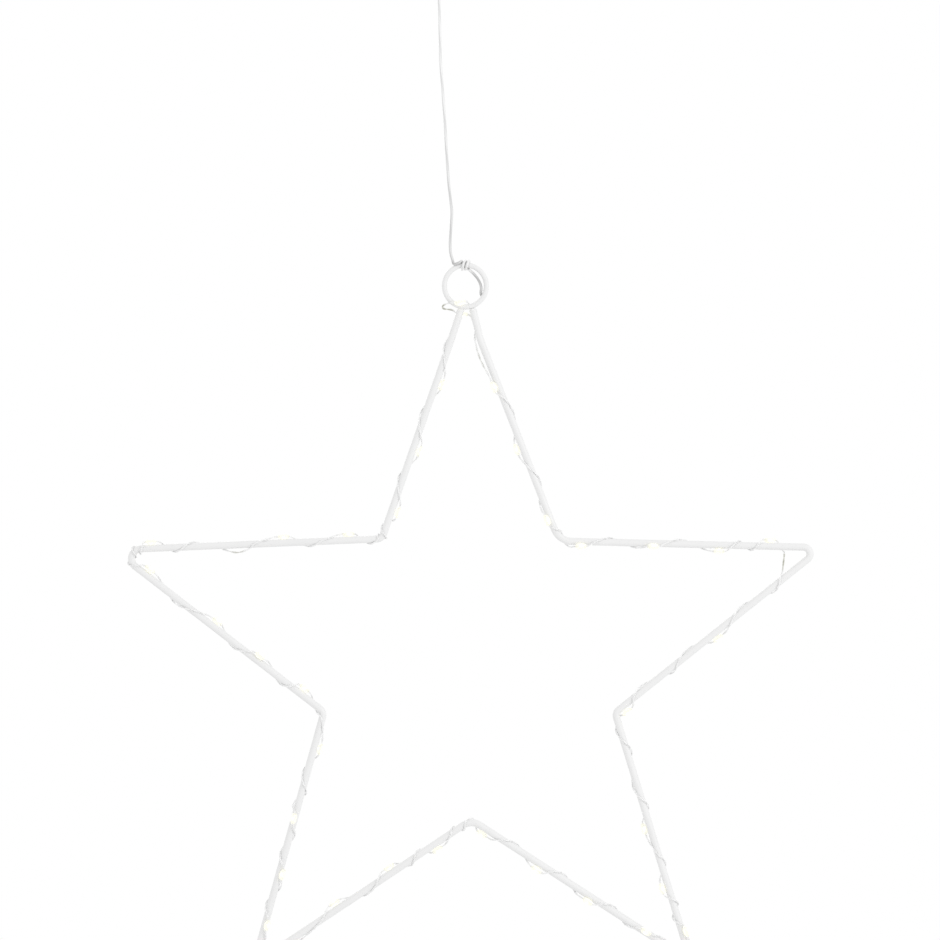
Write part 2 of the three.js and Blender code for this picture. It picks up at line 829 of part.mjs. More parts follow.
function makeCase() {
  const shell = slab(caseWidth, caseDepth, caseHeight, caseCorner);
  shell.translate(0, 0, (caseTop + caseBottom) / 2);
  const [half, inner] = [openWidth / 2, backY - caseWall];
  const past = frontY - overrun;
  const lipFront = coverInside - tongueThickness - slidePlay;
  const lipBack = coverInside + slidePlay;
  const bay = block([-half, past, bayBottom], [half, inner, bayTop]);
  const boardBay = block([-half, past, boardBayBottom], [half, inner, boardBayTop]);
  const coverWay = block([-half, past, boardBayTop - overrun], [half, lipBack, caseTop + overrun]);
  const grooveReach = half + tongueDepth + slidePlay;
  const grooves = block([-grooveReach, lipFront, seatZ], [grooveReach, lipBack, caseTop + overrun]);
  const pocket = block(
    [-tabHalfWidth - seatGap, -tabThickness / 2 - seatGap, caseTop - tabFootDepth - seatGap],
    [tabHalfWidth + seatGap, tabThickness / 2 + seatGap, caseTop + overrun],
  );
  const holeRadius = reliefNeckDiameter / 2 + seatGap;
  const reliefHole = new THREE.CylinderGeometry(holeRadius, holeRadius, caseWall + 2 * overrun, reliefSides);
  reliefHole.rotateX(Math.PI / 2).translate(0, 0, caseBottom + caseWall / 2);
  const slots = [tailX, -cellX].map((x) =>
    block(
      [x - contactSlotWidth / 2, cellY - contactSlotDepth / 2, boardBayTop - overrun],
      [x + contactSlotWidth / 2, cellY + contactSlotDepth / 2, bayBottom + overrun],
    ),
  );
  const hollow = cut(shell, bay, boardBay, coverWay, grooves, pocket, reliefHole, ...slots);
  const postLength = inner - boardFront - boardThickness - seatGap + overrun;
  const posts = [-1, 1].map((side) =>
    new THREE.CylinderGeometry(postDiameter / 2, postDiameter / 2, postLength, smallSides)
      .translate((side * postSpacing) / 2, inner + overrun - postLength / 2, boardZ),
  );
  piece("battery_case", joined(hollow, ...posts), finishes.plastic);
}

function makeCovers() {
  const half = openWidth / 2 - slidePlay;
  const plate = block([-half, frontY, seatZ + seatGap], [half, coverInside, caseTop]);
  const tongue = block(
    [-half - tongueDepth, coverInside - tongueThickness, seatZ + seatGap],
    [half + tongueDepth, coverInside, caseTop - caseCorner],
  );
  const grips = Array.from({ length: coverGripCount }, (_, k) => {
    const z = seatZ + coverGripLift + k * coverGripPitch;
    const low = [-coverGripWidth / 2, frontY - overrun, z - coverGripHeight / 2];
    return block(low, [coverGripWidth / 2, frontY + coverGripDepth, z + coverGripHeight / 2]);
  });
  piece("battery_cover", cut(joined(plate, tongue), ...grips), finishes.plastic);
  const lower = block([-half, frontY, boardBayBottom + seatGap], [half, coverInside, seatZ - seatGap]);
  const slotHalf = knobWidth / 2 + seatGap;
  const slot = block(
    [-slotHalf, frontY - overrun, boardZ - knobHeight / 2 - seatGap],
    [slotHalf + switchTravel, coverInside + overrun, boardZ + knobHeight / 2 + seatGap],
  );
  piece("switch_cover", cut(lower, slot), finishes.plastic);
}

function makeSwitch() {
  const knob = block(
    [-knobWidth / 2, frontY - knobProud, boardZ - knobHeight / 2],
    [knobWidth / 2, flangeY, boardZ + knobHeight / 2],
  );
  const flange = slab(flangeWidth, flangeThickness, flangeHeight).translate(0, flangeY, boardZ);
  const notches = [-1, 0, 1].map((k) =>
    block(
      [(2 * k - 0.5) * knobRidge, frontY - knobProud - overrun, boardZ - knobHeight],
      [(2 * k + 0.5) * knobRidge, frontY - knobProud + knobRidge, boardZ + knobHeight],
    ),
  );
  piece("switch_slider", cut(joined(knob, flange), ...notches), finishes.plastic);
  const body = slab(switchBodyWidth, switchBodyDepth + overrun, switchBodyHeight)
    .translate(0, switchBodyFront + (switchBodyDepth + overrun) / 2, boardZ);
  const board = slab(boardWidth, boardThickness, boardHeight)
    .translate(0, boardFront + boardThickness / 2, boardZ);
  const chip = slab(chipSize, chipThickness + boardThickness / 2, chipSize)
    .translate(-postSpacing / 2, boardFront - chipThickness / 2 + boardThickness / 4, boardZ);
  piece("circuit_board", joined(board, body, chip), finishes.board);
}

function makeCells() {
  const [radius, nub] = [cellDiameter / 2, nubDiameter / 2];
  const top = cellLength / 2;
  const can = top - nubHeight;
  const profile = [
    [0, -top],
    [radius - cellShoulder, -top],
    [radius, cellShoulder - top],
    [radius, can - cellShoulder],
    [radius - cellShoulder, can],
    [nub, can],
    [nub, top],
    [0, top],
  ];
  const lowZ = bayBottom + contactSheet + 2 * seatGap + top;
  const highZ = bayTop - contactSheet - 2 * seatGap - top;
  const upright = turned(profile, cellSides);
  piece("cell_1", upright.clone().rotateX(Math.PI), finishes.cell, vector(-cellX, cellY, lowZ));
  piece("cell_2", upright, finishes.cell, vector(cellX, cellY, highZ));
}

/** A contact spring, narrowing from its base to its free end; a negative height turns it over. */
function springPoints(height) {
  const steps = springSteps * springTurns;
  const base = (Math.sign(height) * springWireDiameter) / 2;
  return Array.from({ length: steps + 1 }, (_, k) => {
    const angle = (k / springSteps) * fullTurn;
    const radius = THREE.MathUtils.lerp(springBaseDiameter, springTopDiameter, k / steps) / 2;
    const rise = THREE.MathUtils.lerp(base, height - base, k / steps);
    return vector(radius * Math.cos(angle), radius * Math.sin(angle), rise);
  });
}

function makeContacts() {
  const lowest = bayBottom + seatGap;
  const highest = bayTop - seatGap;
  const underBridge = highest - contactSheet - seatGap;
  const coil = springPoints(springRoom + seatGap);
  const tail = vector(coil[0].x, coil[0].y, -partitionWall - 2 * seatGap);
  const places = [vector(cellX, cellY, lowest), vector(-cellX, cellY, underBridge)];
  [[tail, ...coil], springPoints(contactSheet - springRoom)].forEach((points, i) => {
    woundPiece(`contact_spring_${i + 1}`, points, springWireDiameter, springSides, finishes.steel, places[i]);
  });
  const plateWidth = springBaseDiameter + springWireDiameter;
  const bridge = block(
    [-cellX - plateWidth / 2, cellY - plateWidth / 2, highest - contactSheet],
    [cellX + plateWidth / 2, cellY + plateWidth / 2, highest],
  );
  piece("bridge_plate", bridge, finishes.steel);
  const flat = block(
    [-cellX - plateWidth / 2, cellY - plateWidth / 2, lowest],
    [-cellX + plateWidth / 2, cellY + plateWidth / 2, lowest + contactSheet],
  );
  const tab = block(
    [seatGap - cellX - contactSlotWidth / 2, cellY - contactSheet / 2, boardBayTop - partitionWall],
    [contactSlotWidth / 2 - cellX - seatGap, cellY + contactSheet / 2, lowest + contactSheet / 2],
  );
  piece("terminal_plate", joined(flat, tab), finishes.steel);
}

function makeHangingTab() {
  const foot = caseTop - tabFootDepth;
  const outline = new THREE.Shape();
  outline.moveTo(-tabHalfWidth, foot);
  outline.lineTo(tabHalfWidth, foot);
  outline.absarc(0, 0, tabHalfWidth, 0, Math.PI);
  outline.closePath();
  const hole = new THREE.Path();
  hole.absarc(0, 0, eyeDiameter / 2, 0, fullTurn);
  outline.holes.push(hole);
  piece("hanging_tab", standing(outline, tabThickness, smallSides), finishes.plastic);
}

function makeStrainRelief() {
  const [neck, collar] = [reliefNeckDiameter / 2, reliefCollarDiameter / 2];
  const inside = caseBottom + caseWall + seatGap;
  const outside = caseBottom - seatGap;
  const mouth = caseBottom - reliefLength;
  const taperTop = outside - reliefCollarHeight;
  const steps = 2 * reliefGrooveCount + 2;
  const grooves = Array.from({ length: steps - 1 }, (_, k) => {
    const share = (k + 1) / steps;
    const radius = THREE.MathUtils.lerp(reliefTopDiameter, reliefMouthDiameter, share) / 2;
    const depth = k % 2 === 0 ? 0 : reliefGrooveDepth;
    return [radius - depth, THREE.MathUtils.lerp(taperTop, mouth, share)];
  });
  const profile = [
    [0, mouth],
    [reliefMouthDiameter / 2, mouth],
    ...grooves.reverse(),
    [reliefTopDiameter / 2, taperTop],
    [collar, taperTop],
    [collar, outside],
    [neck, outside],
    [neck, inside],
    [collar, inside],
    [collar, inside + reliefCollarHeight],
    [0, inside + reliefCollarHeight],
  ];
  piece("strain_relief", turned(profile, reliefSides), finishes.rubber);
}

/** The lead from the relief's mouth to the star, and the place where the star hangs on it. */
function makeLead() {
  const route = leadRoute.map((point) => vector(...point));
  const start = route[0].clone().lerp(route[1], seatGap / route[0].distanceTo(route[1]));
  const points = [start, ...route.slice(1)];
  piece("lead_cable", tube(points, leadDiameter / 2, leadSides), finishes.lead);
  const [before, end] = points.slice(-2);
  return end.clone().sub(before).setLength(leadJoinGap).add(end);
}

makeFrame();
makeString();
makeLeadTurns();
const star = new THREE.Group();
star.add(...nodes.splice(0));
star.rotation.y = degrees(hangLeanDeg);
star.position.copy(makeLead()).sub(leadJoin.clone().applyEuler(star.rotation));

makeCase();
makeCovers();
makeSwitch();
makeCells();
makeContacts();
makeHangingTab();
makeStrainRelief();

const part = new THREE.Group();
part.add(star, ...nodes);

export default part;
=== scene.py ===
"""A wire star wound with a string of small lights, hanging by its lead from a slim battery case.

Sizes are millimetres until a mesh is placed. The star's own pieces are drawn about the star's centre, and
STAR_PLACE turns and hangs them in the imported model's frame.
"""

from __future__ import annotations

import logging
import math
from contextlib import contextmanager
from dataclasses import dataclass
from enum import Enum
from typing import Any, Callable, Iterable, Iterator, Sequence

import bmesh
import bpy
from mathutils import Matrix, Vector
from mathutils.kdtree import KDTree

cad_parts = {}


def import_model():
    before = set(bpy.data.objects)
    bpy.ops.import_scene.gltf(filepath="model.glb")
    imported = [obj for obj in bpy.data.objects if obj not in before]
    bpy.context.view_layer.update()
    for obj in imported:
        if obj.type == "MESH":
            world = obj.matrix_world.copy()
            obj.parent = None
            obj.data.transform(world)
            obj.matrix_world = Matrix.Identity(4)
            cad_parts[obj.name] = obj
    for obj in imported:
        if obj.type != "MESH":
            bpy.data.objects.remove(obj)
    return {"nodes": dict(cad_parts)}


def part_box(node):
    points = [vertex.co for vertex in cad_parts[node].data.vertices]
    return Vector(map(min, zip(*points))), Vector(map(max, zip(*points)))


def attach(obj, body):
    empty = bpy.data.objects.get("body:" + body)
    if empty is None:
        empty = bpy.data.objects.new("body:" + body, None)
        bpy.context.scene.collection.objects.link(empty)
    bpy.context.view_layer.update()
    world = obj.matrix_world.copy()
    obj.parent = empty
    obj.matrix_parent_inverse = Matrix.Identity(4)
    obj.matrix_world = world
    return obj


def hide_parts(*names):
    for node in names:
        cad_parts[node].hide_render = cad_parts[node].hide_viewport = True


LOG = logging.getLogger("star")

MM = 0.001
LEAN_DEG = 2.58
STAR_CENTRE = Vector((0.232, 0.0, -505.4))
PLACE = Matrix.Scale(MM, 4)
STAR_PLACE = PLACE @ Matrix.Translation(STAR_CENTRE) @ Matrix.Rotation(math.radians(LEAN_DEG), 4, "Y")
FULL_TURN = 2 * math.pi

DOME_STEPS = 6
DOME_TIP = 0.03
STEEP = 0.9
SHARP_ANGLE = math.radians(35)
FLAT_ANGLE = math.radians(1)
MERGE_DISTANCE = 1e-6
TINY = 1e-9

Point = tuple[float, float, float]
Colour = tuple[float, float, float]
Span = tuple[float, float]
Seat = tuple[Vector, Vector]

USUAL: Span = (0.3, 0.7)
UNEVEN: Span = (0.3, 0.9)


def grey(value: float) -> Colour:
    """A neutral colour."""
    return value, value, value


class Body(Enum):
    """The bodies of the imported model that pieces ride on."""

    CASE = "case"
    LEAD = "lead"
    STAR = "star"
    COVER = "cover"
    SWITCH = "switch"


class Slot(Enum):
    """The record's material slots."""

    PAINT = "white_paint"
    STRING = "string_wire"
    DROP = "lit_drop"
    LEAD = "clear_lead"
    SLEEVE = "white_sleeve"
    PLASTIC = "white_plastic"
    KNOB = "black_plastic"
    RELIEF = "soft_relief"
    BOARD = "board"
    CELL = "cell"
    CONTACT = "contact_steel"


# Shader and geometry trees


def operator(operation: str, swapped: bool = False) -> Callable[..., Signal]:
    """Makes an operator of signals.

    Args:
        operation: the operation of the Math node that it adds.
        swapped: whether the signal that it is called on comes last.

    Returns:
        The operator's method.
    """

    def method(signal: Signal, *others: Signal | float) -> Signal:
        """Adds the node."""
        return signal.bench.maths(operation, *((*others, signal) if swapped else (signal, *others)))

    return method


@dataclass(frozen=True)
class Signal:
    """An output in a shader or geometry tree. Operators on it add Math nodes."""

    bench: Bench
    socket: bpy.types.NodeSocket

    __add__ = __radd__ = operator("ADD")
    __mul__ = __rmul__ = operator("MULTIPLY")
    __sub__, __rsub__ = operator("SUBTRACT"), operator("SUBTRACT", swapped=True)
    __truediv__ = operator("DIVIDE")
    __pow__ = operator("POWER")
    __abs__ = operator("ABSOLUTE")


def spaced(sockets: dict[str, Any]) -> dict[str | int, Any]:
    """Sockets by their own names, from names with underscores for spaces."""
    return {name.replace("_", " "): value for name, value in sockets.items()}


def blend(first: Signal, second: Signal, shares: Span) -> Signal:
    """Shares of two signals, added."""
    return first * shares[0] + second * shares[1]


class Bench:
    """Makes the nodes of one tree."""

    def __init__(self, tree: bpy.types.NodeTree) -> None:
        """Starts on the tree that the nodes go into."""
        self.tree = tree

    def add(
        self,
        kind: str,
        settings: dict[str, Any] | None = None,
        inputs: dict[str | int, Any] | None = None,
        output: str | int = 0,
    ) -> Signal:
        """Adds one node.

        Args:
            kind: the node's type.
            settings: its own settings, set first; "stops" and "blend" are a ramp's.
            inputs: its sockets by name or number, each a value, a signal or a list of signals.
            output: which output the signal stands for.

        Returns:
            The signal of that output.
        """
        node = self.tree.nodes.new(kind)
        for name, value in (settings or {}).items():
            if name == "stops":
                self._set_stops(node.color_ramp, value)
            elif name == "blend":
                node.color_ramp.interpolation = value
            else:
                setattr(node, name, value)
        for name, value in (inputs or {}).items():
            if isinstance(value, (Signal, list)):
                for signal in value if isinstance(value, list) else [value]:
                    self.tree.links.new(signal.socket, node.inputs[name])
            else:
                node.inputs[name].default_value = value
        return Signal(self, node.outputs[output] if len(node.outputs) else node.inputs[0])

    @staticmethod
    def _set_stops(ramp: bpy.types.ColorRamp, stops: Sequence[tuple[float, Colour]]) -> None:
        """Sets a ramp's stops.

        Args:
            ramp: the ramp.
            stops: each stop's place and colour, in order.
        """
        while len(ramp.elements) < len(stops):
            ramp.elements.new(1.0)
        for element, (place, colour) in zip(ramp.elements, stops):
            element.position = place
            element.color = (*colour, 1.0)

    def maths(self, operation: str, *values: Signal | float) -> Signal:
        """Adds one Math node with its inputs in order."""
        return self.add("ShaderNodeMath", {"operation": operation}, dict(enumerate(values)))

    def axis(self, vector: Signal, name: str) -> Signal:
        """One axis of a vector."""
        return self.add("ShaderNodeSeparateXYZ", None, {0: vector}, name)


class ShaderBench(Bench):
    """Makes one material's nodes."""

    MIX_FACTOR, MIX_LOW, MIX_HIGH, MIX_RESULT = 0, 6, 7, 2

    def __init__(self, name: str) -> None:
        """Starts an empty material.

        Args:
            name: the material's name.
        """
        self.material = bpy.data.materials.new(name)
        self.material.use_nodes = True
        self.material.node_tree.nodes.clear()
        super().__init__(self.material.node_tree)

    def place(self) -> Signal:
        """The point on the surface, in metres in the model's frame."""
        return self.add("ShaderNodeTexCoord", output="Object")

    def chart(self, name: str) -> Signal:
        """One axis of the piece's own chart."""
        return self.axis(self.add("ShaderNodeUVMap", {"uv_map": "chart"}), name)

    def stored(self, name: str) -> Signal:
        """A number stored on the mesh as an attribute."""
        return self.add("ShaderNodeAttribute", {"attribute_name": name}, output="Fac")

    def noise(self, scale: float, detail: float) -> Signal:
        """Cloudy noise from 0 to 1, by its features to a metre and its finer layers."""
        inputs = {"Vector": self.place(), "Scale": scale, "Detail": detail}
        return self.add("ShaderNodeTexNoise", None, inputs)

    def tint(self, factor: Signal, low: Colour | Signal, high: Colour | Signal) -> Signal:
        """A colour between two.

        Args:
            factor: 0 for the first colour and 1 for the second.
            low: the first colour.
            high: the second colour.

        Returns:
            The colour.
        """
        low, high = (end if isinstance(end, Signal) else (*end, 1.0) for end in (low, high))
        inputs = {self.MIX_FACTOR: factor, self.MIX_LOW: low, self.MIX_HIGH: high}
        return self.add("ShaderNodeMix", {"data_type": "RGBA"}, inputs, self.MIX_RESULT)

    def spread(
        self, signal: Signal, low: float, high: float, to_low: float = 0.0, to_high: float = 1.0
    ) -> Signal:
        """Stretches a signal's range from low to high over another range, held at its ends."""
        inputs = {"Value": signal, 1: low, 2: high, 3: to_low, 4: to_high}
        return self.add("ShaderNodeMapRange", None, inputs)

    def between(self, noise: Signal, ends: Span) -> Signal:
        """A number between two, as a noise goes over its usual range."""
        return self.spread(noise, *USUAL, *ends)

    def bump(self, height: Signal, depth: float, strength: float) -> Signal:
        """The normal of a relief, by its full depth in metres and how much of it shows."""
        return self.add("ShaderNodeBump", None, {"Height": height, "Distance": depth, "Strength": strength})

    def finish(self, **sockets: Any) -> bpy.types.Material:
        """Ends the material in one principled surface.

        Args:
            sockets: its sockets by name, with underscores for spaces.

        Returns:
            The material.
        """
        surface = self.add("ShaderNodeBsdfPrincipled", None, spaced(sockets))
        self.add("ShaderNodeOutputMaterial", None, {"Surface": surface})
        return self.material


class GeometryBench(Bench):
    """Makes one geometry tree, with named inputs, that ends in Realize Instances and Set Material."""

    def __init__(self, name: str, numbers: dict[str, float], material: bpy.types.Material) -> None:
        """Starts a tree.

        Args:
            name: the tree's name.
            numbers: its inputs' names and values.
            material: the material of what it makes.
        """
        super().__init__(bpy.data.node_groups.new(name, "GeometryNodeTree"))
        face = self.tree.interface
        for way in ("INPUT", "OUTPUT"):
            face.new_socket("Geometry", in_out=way, socket_type="NodeSocketGeometry")
        self.values: dict[str, Any] = {}
        for label, value in numbers.items():
            kind = "NodeSocketInt" if isinstance(value, int) else "NodeSocketFloat"
            socket = face.new_socket(label, in_out="INPUT", socket_type=kind)
            self.values[socket.identifier] = value
        self.material = material
        self.group_input = self.tree.nodes.new("NodeGroupInput")

    def given(self, label: str) -> Signal:
        """One of the tree's inputs, by its name."""
        return Signal(self, self.group_input.outputs[label])

    def shape(self, kind: str, **inputs: Any) -> Signal:
        """Adds a geometry node without settings."""
        return self.add("GeometryNode" + kind, None, spaced(inputs))

    def vector(self, **axes: Signal | float) -> Signal:
        """A vector from its axes."""
        return self.add("ShaderNodeCombineXYZ", None, axes)

    def chance(self, ends: Span, seed: int) -> Signal:
        """A random number between two for each instance."""
        inputs = {2: ends[0], 3: ends[1], "Seed": seed}
        return self.add("FunctionNodeRandomValue", {"data_type": "FLOAT"}, inputs, 1)

    def carry_out(self, made: Signal, source: bpy.types.Mesh) -> bpy.types.Mesh:
        """Ends the tree, runs it on a mesh and keeps the result as a plain mesh, turned outwards.

        Args:
            made: the geometry that the tree made.
            source: the mesh that the tree starts from.

        Returns:
            The result.
        """
        real = self.shape("RealizeInstances", Geometry=made)
        dressed = self.shape("SetMaterial", Geometry=real, Material=self.material)
        self.add("NodeGroupOutput", None, {"Geometry": dressed})
        carrier = linked(self.tree.name, source)
        modifier = carrier.modifiers.new("shape", "NODES")
        modifier.node_group = self.tree
        for identifier, value in self.values.items():
            modifier[identifier] = value
        mesh = evaluated(carrier)
        carrier.modifiers.remove(modifier)
        bpy.data.objects.remove(carrier)
        return outward(mesh)


# Finishes. A noise is given as features to a metre and detail, and a relief as depth in metres and strength.
# Shares say how much of each of two patterns goes into a colour, a roughness or a relief.


@dataclass(frozen=True)
class PowderCoat:
    """Satin white powder coat on steel wire."""

    tone: Colour = grey(0.855)
    shade: Colour = grey(0.8)
    cloud: Span = (55.0, 3.0)
    peel: Span = (2200.0, 1.0)
    speck: Span = (900.0, 2.0)
    speck_edge: Span = (0.72, 0.78)
    tone_shares: Span = (0.8, 0.3)
    relief_shares: Span = (0.7, 0.3)
    gloss: Span = (0.34, 0.46)
    relief: Span = (0.00004, 0.5)

    def build(self) -> bpy.types.Material:
        """Makes the material.

        Returns:
            The material.
        """
        bench = ShaderBench("powder_coat")
        cloud, peel = bench.noise(*self.cloud), bench.noise(*self.peel)
        speck = bench.spread(bench.noise(*self.speck), *self.speck_edge)
        return bench.finish(
            Base_Color=bench.tint(blend(cloud, speck, self.tone_shares), self.tone, self.shade),
            Roughness=bench.between(cloud, self.gloss),
            Normal=bench.bump(blend(peel, cloud, self.relief_shares), *self.relief),
        )


@dataclass(frozen=True)
class SilverStrand:
    """Lacquered silver-coloured wire, darker and yellower where it runs free of the star, by its free
    attribute.
    """

    bright: Colour = grey(0.96)
    dull: Colour = grey(0.88)
    free_tone: Colour = (0.6, 0.6, 0.53)
    wear: Span = (320.0, 3.0)
    draw: Span = (2600.0, 1.0)
    metal: Span = (0.25, 0.1)
    gloss: Span = (0.3, 0.45)
    relief: Span = (0.00002, 0.3)

    def build(self) -> bpy.types.Material:
        """Makes the material.

        Returns:
            The material.
        """
        bench = ShaderBench("silver_strand")
        wear, draw = bench.noise(*self.wear), bench.noise(*self.draw)
        plain_greys = bench.tint(wear, self.bright, self.dull)
        return bench.finish(
            Base_Color=bench.tint(bench.stored("free"), plain_greys, self.free_tone),
            Metallic=bench.between(wear, self.metal),
            Roughness=bench.between(draw, self.gloss),
            Normal=bench.bump(draw, *self.relief),
        )


@dataclass(frozen=True)
class LitResin:
    """Clear resin round a lit chip: white hot at its middle and warm at its ends, by its glow attribute."""

    core: Colour = (1.0, 0.99, 0.85)
    rim: Colour = (0.72, 0.71, 0.61)
    body: Colour = (0.6, 0.6, 0.56)
    ends: Colour = (0.65, 0.65, 0.615)
    strength: float = 0.4
    clearness: float = 0.4
    bending: float = 1.5
    ripple: Span = (700.0, 1.0)
    ripple_share: float = 0.12
    hot_edge: Span = (0.05, 0.75)
    gloss: Span = (0.12, 0.22)
    relief: Span = (0.00006, 0.4)

    def build(self) -> bpy.types.Material:
        """Makes the material.

        Returns:
            The material.
        """
        bench = ShaderBench("lit_resin")
        ripple = bench.noise(*self.ripple)
        hot = bench.spread(bench.stored("glow") + (ripple - 0.5) * self.ripple_share, *self.hot_edge)
        return bench.finish(
            Base_Color=bench.tint(hot, self.ends, self.body),
            Roughness=bench.between(ripple, self.gloss),
            Normal=bench.bump(ripple, *self.relief),
            Emission_Color=bench.tint(hot, self.rim, self.core),
            Emission_Strength=self.strength,
            Transmission_Weight=self.clearness,
            IOR=self.bending,
        )


@dataclass(frozen=True)
class LitChip:
    """A lit yellow chip."""

    phosphor: tuple[Colour, Colour] = ((1.0, 0.72, 0.25), (1.0, 0.85, 0.45))
    light: tuple[Colour, Colour] = ((1.0, 0.92, 0.74), (1.0, 0.96, 0.84))
    strength: float = 1.6
    grain: Span = (5200.0, 2.0)
    gloss: Span = (0.3, 0.5)

    def build(self) -> bpy.types.Material:
        """Makes the material.

        Returns:
            The material.
        """
        bench = ShaderBench("lit_chip")
        grain = bench.noise(*self.grain)
        return bench.finish(
            Base_Color=bench.tint(grain, *self.phosphor),
            Roughness=bench.between(grain, self.gloss),
            Emission_Color=bench.tint(grain, *self.light),
            Emission_Strength=self.strength,
        )


@dataclass(frozen=True)
class ClearLead:
    """Clear insulation through which two twisted silver strands show, darker in places along it by painted
    shade.

    Its chart runs along the lead in metres. Its two pairs of greys lie between the strands and on them, plain
    and under painted shade. Each place is a share of the lead's length, with its painted shade there from 0
    to 1.
    """

    name: str
    length: float
    plain_greys: Span
    shaded_greys: Span
    shade_places: tuple[Span, ...]
    lay: float = 0.022
    haze: Span = (260.0, 2.0)
    strand_edge: Span = (0.25, 0.6)
    metal_edge: Span = (0.3, 0.6)
    metal: Span = (0.0, 0.15)
    tone_shares: Span = (0.9, 0.15)
    relief_shares: Span = (0.8, 0.2)
    gloss: Span = (0.28, 0.42)
    relief: Span = (0.00005, 0.4)
    skin: float = 0.25
    skin_gloss: float = 0.2

    def build(self) -> bpy.types.Material:
        """Makes the material.

        Returns:
            The material.
        """
        bench = ShaderBench(self.name)
        around, along = bench.chart("X"), bench.chart("Y")
        turn = bench.maths("FRACT", 2 * around + along / self.lay)
        ridge = 1 - abs(turn - 0.5) * 2
        haze = bench.noise(*self.haze)
        shown = blend(bench.spread(ridge, *self.strand_edge), haze, self.tone_shares)
        stops = [(place, grey(value)) for place, value in self.shade_places]
        # Painted shade: this ramp darkens the lead towards its shaded greys at the places given along it.
        strain = bench.add("ShaderNodeValToRGB", {"stops": stops}, {"Fac": along / self.length})
        plain_greys, shaded_greys = (bench.tint(shown, *map(grey, ends)) for ends in (self.plain_greys, self.shaded_greys))
        return bench.finish(
            Base_Color=bench.tint(strain, plain_greys, shaded_greys),
            Metallic=bench.spread(ridge, *self.metal_edge, *self.metal),
            Roughness=bench.between(haze, self.gloss),
            Normal=bench.bump(blend(ridge, haze, self.relief_shares), *self.relief),
            Coat_Weight=self.skin,
            Coat_Roughness=self.skin_gloss,
        )


@dataclass(frozen=True)
class Moulding:
    """Moulded plastic or rubber with a fine eroded texture."""

    name: str
    tone: Colour
    shade: Colour
    gloss: float = 0.42
    gloss_spread: Span = (-0.07, 0.1)
    cloud: Span = (38.0, 3.0)
    grain: Span = (3200.0, 2.0)
    rub: Span = (120.0, 4.0)
    rub_edge: Span = (0.58, 0.74)
    tone_shares: Span = (0.7, 0.2)
    gloss_shares: Span = (1.0, 0.3)
    relief: Span = (0.00005, 0.6)

    def build(self) -> bpy.types.Material:
        """Makes the material.

        Returns:
            The material.
        """
        bench = ShaderBench(self.name)
        cloud, grain = bench.noise(*self.cloud), bench.noise(*self.grain)
        rub = bench.spread(bench.noise(*self.rub), *self.rub_edge)
        gloss = [self.gloss + change for change in self.gloss_spread]
        return bench.finish(
            Base_Color=bench.tint(blend(cloud, grain, self.tone_shares), self.tone, self.shade),
            Roughness=bench.spread(blend(grain, rub, self.gloss_shares), *UNEVEN, *gloss),
            Normal=bench.bump(grain, *self.relief),
        )


@dataclass(frozen=True)
class Nickel:
    """Nickel-plated spring steel."""

    tone: Colour = (0.72, 0.71, 0.68)
    shade: Colour = (0.6, 0.585, 0.55)
    haze: Span = (180.0, 4.0)
    draw: Span = (2400.0, 1.0)
    haze_edge: Span = (0.4, 0.9)
    gloss_shares: Span = (1.0, 0.3)
    gloss: Span = (0.2, 0.38)
    relief: Span = (0.00002, 0.4)

    def build(self) -> bpy.types.Material:
        """Makes the material.

        Returns:
            The material.
        """
        bench = ShaderBench("nickel")
        haze, draw = bench.noise(*self.haze), bench.noise(*self.draw)
        return bench.finish(
            Base_Color=bench.tint(haze, self.tone, self.shade),
            Roughness=bench.spread(blend(haze, draw, self.gloss_shares), *self.haze_edge, *self.gloss),
            Normal=bench.bump(draw, *self.relief),
            Metallic=1.0,
        )


@dataclass(frozen=True)
class SolderMask:
    """Green solder mask over copper tracks."""

    mask: Colour = (0.02, 0.16, 0.055)
    track: Colour = (0.05, 0.26, 0.09)
    pitch: float = 420.0
    wander: float = 3.0
    track_edge: Span = (0.72, 0.8)
    weave: Span = (1500.0, 1.0)
    relief_shares: Span = (0.8, 0.2)
    gloss: Span = (0.25, 0.4)
    relief: Span = (0.00004, 0.5)

    def build(self) -> bpy.types.Material:
        """Makes the material.

        Returns:
            The material.
        """
        bench = ShaderBench("solder_mask")
        inputs = {"Vector": bench.place(), "Scale": self.pitch, "Distortion": self.wander}
        lines = bench.spread(bench.add("ShaderNodeTexWave", None, inputs, "Fac"), *self.track_edge)
        weave = bench.noise(*self.weave)
        return bench.finish(
            Base_Color=bench.tint(lines, self.mask, self.track),
            Roughness=bench.between(weave, self.gloss),
            Normal=bench.bump(blend(lines, weave, self.relief_shares), *self.relief),
        )


@dataclass(frozen=True)
class CellSleeve:
    """A cell's plain printed sleeve, with bare metal at both ends. Its chart runs along the cell from 0 to 1.

    Each band has where it starts and its colour. The metal starts at a distance from the middle.
    """

    bands: tuple[tuple[float, Colour], ...] = (
        (0.0, (0.6, 0.6, 0.58)),
        (0.152, (0.13, 0.2, 0.26)),
        (0.73, (0.52, 0.6, 0.62)),
        (0.855, (0.62, 0.62, 0.6)),
    )
    middle: float = 0.503
    metal_from: float = 0.351
    scuff: Span = (400.0, 3.0)
    gloss: Span = (0.24, 0.36)
    relief: Span = (0.00003, 0.3)
    skin: float = 0.2

    def build(self) -> bpy.types.Material:
        """Makes the material.

        Returns:
            The material.
        """
        bench = ShaderBench("cell_sleeve")
        along = bench.chart("Y")
        scuff = bench.noise(*self.scuff)
        settings = {"stops": self.bands, "blend": "CONSTANT"}
        return bench.finish(
            Base_Color=bench.add("ShaderNodeValToRGB", settings, {"Fac": along}),
            Metallic=bench.maths("GREATER_THAN", abs(along - self.middle), self.metal_from),
            Roughness=bench.between(scuff, self.gloss),
            Normal=bench.bump(scuff, *self.relief),
            Coat_Weight=self.skin,
        )


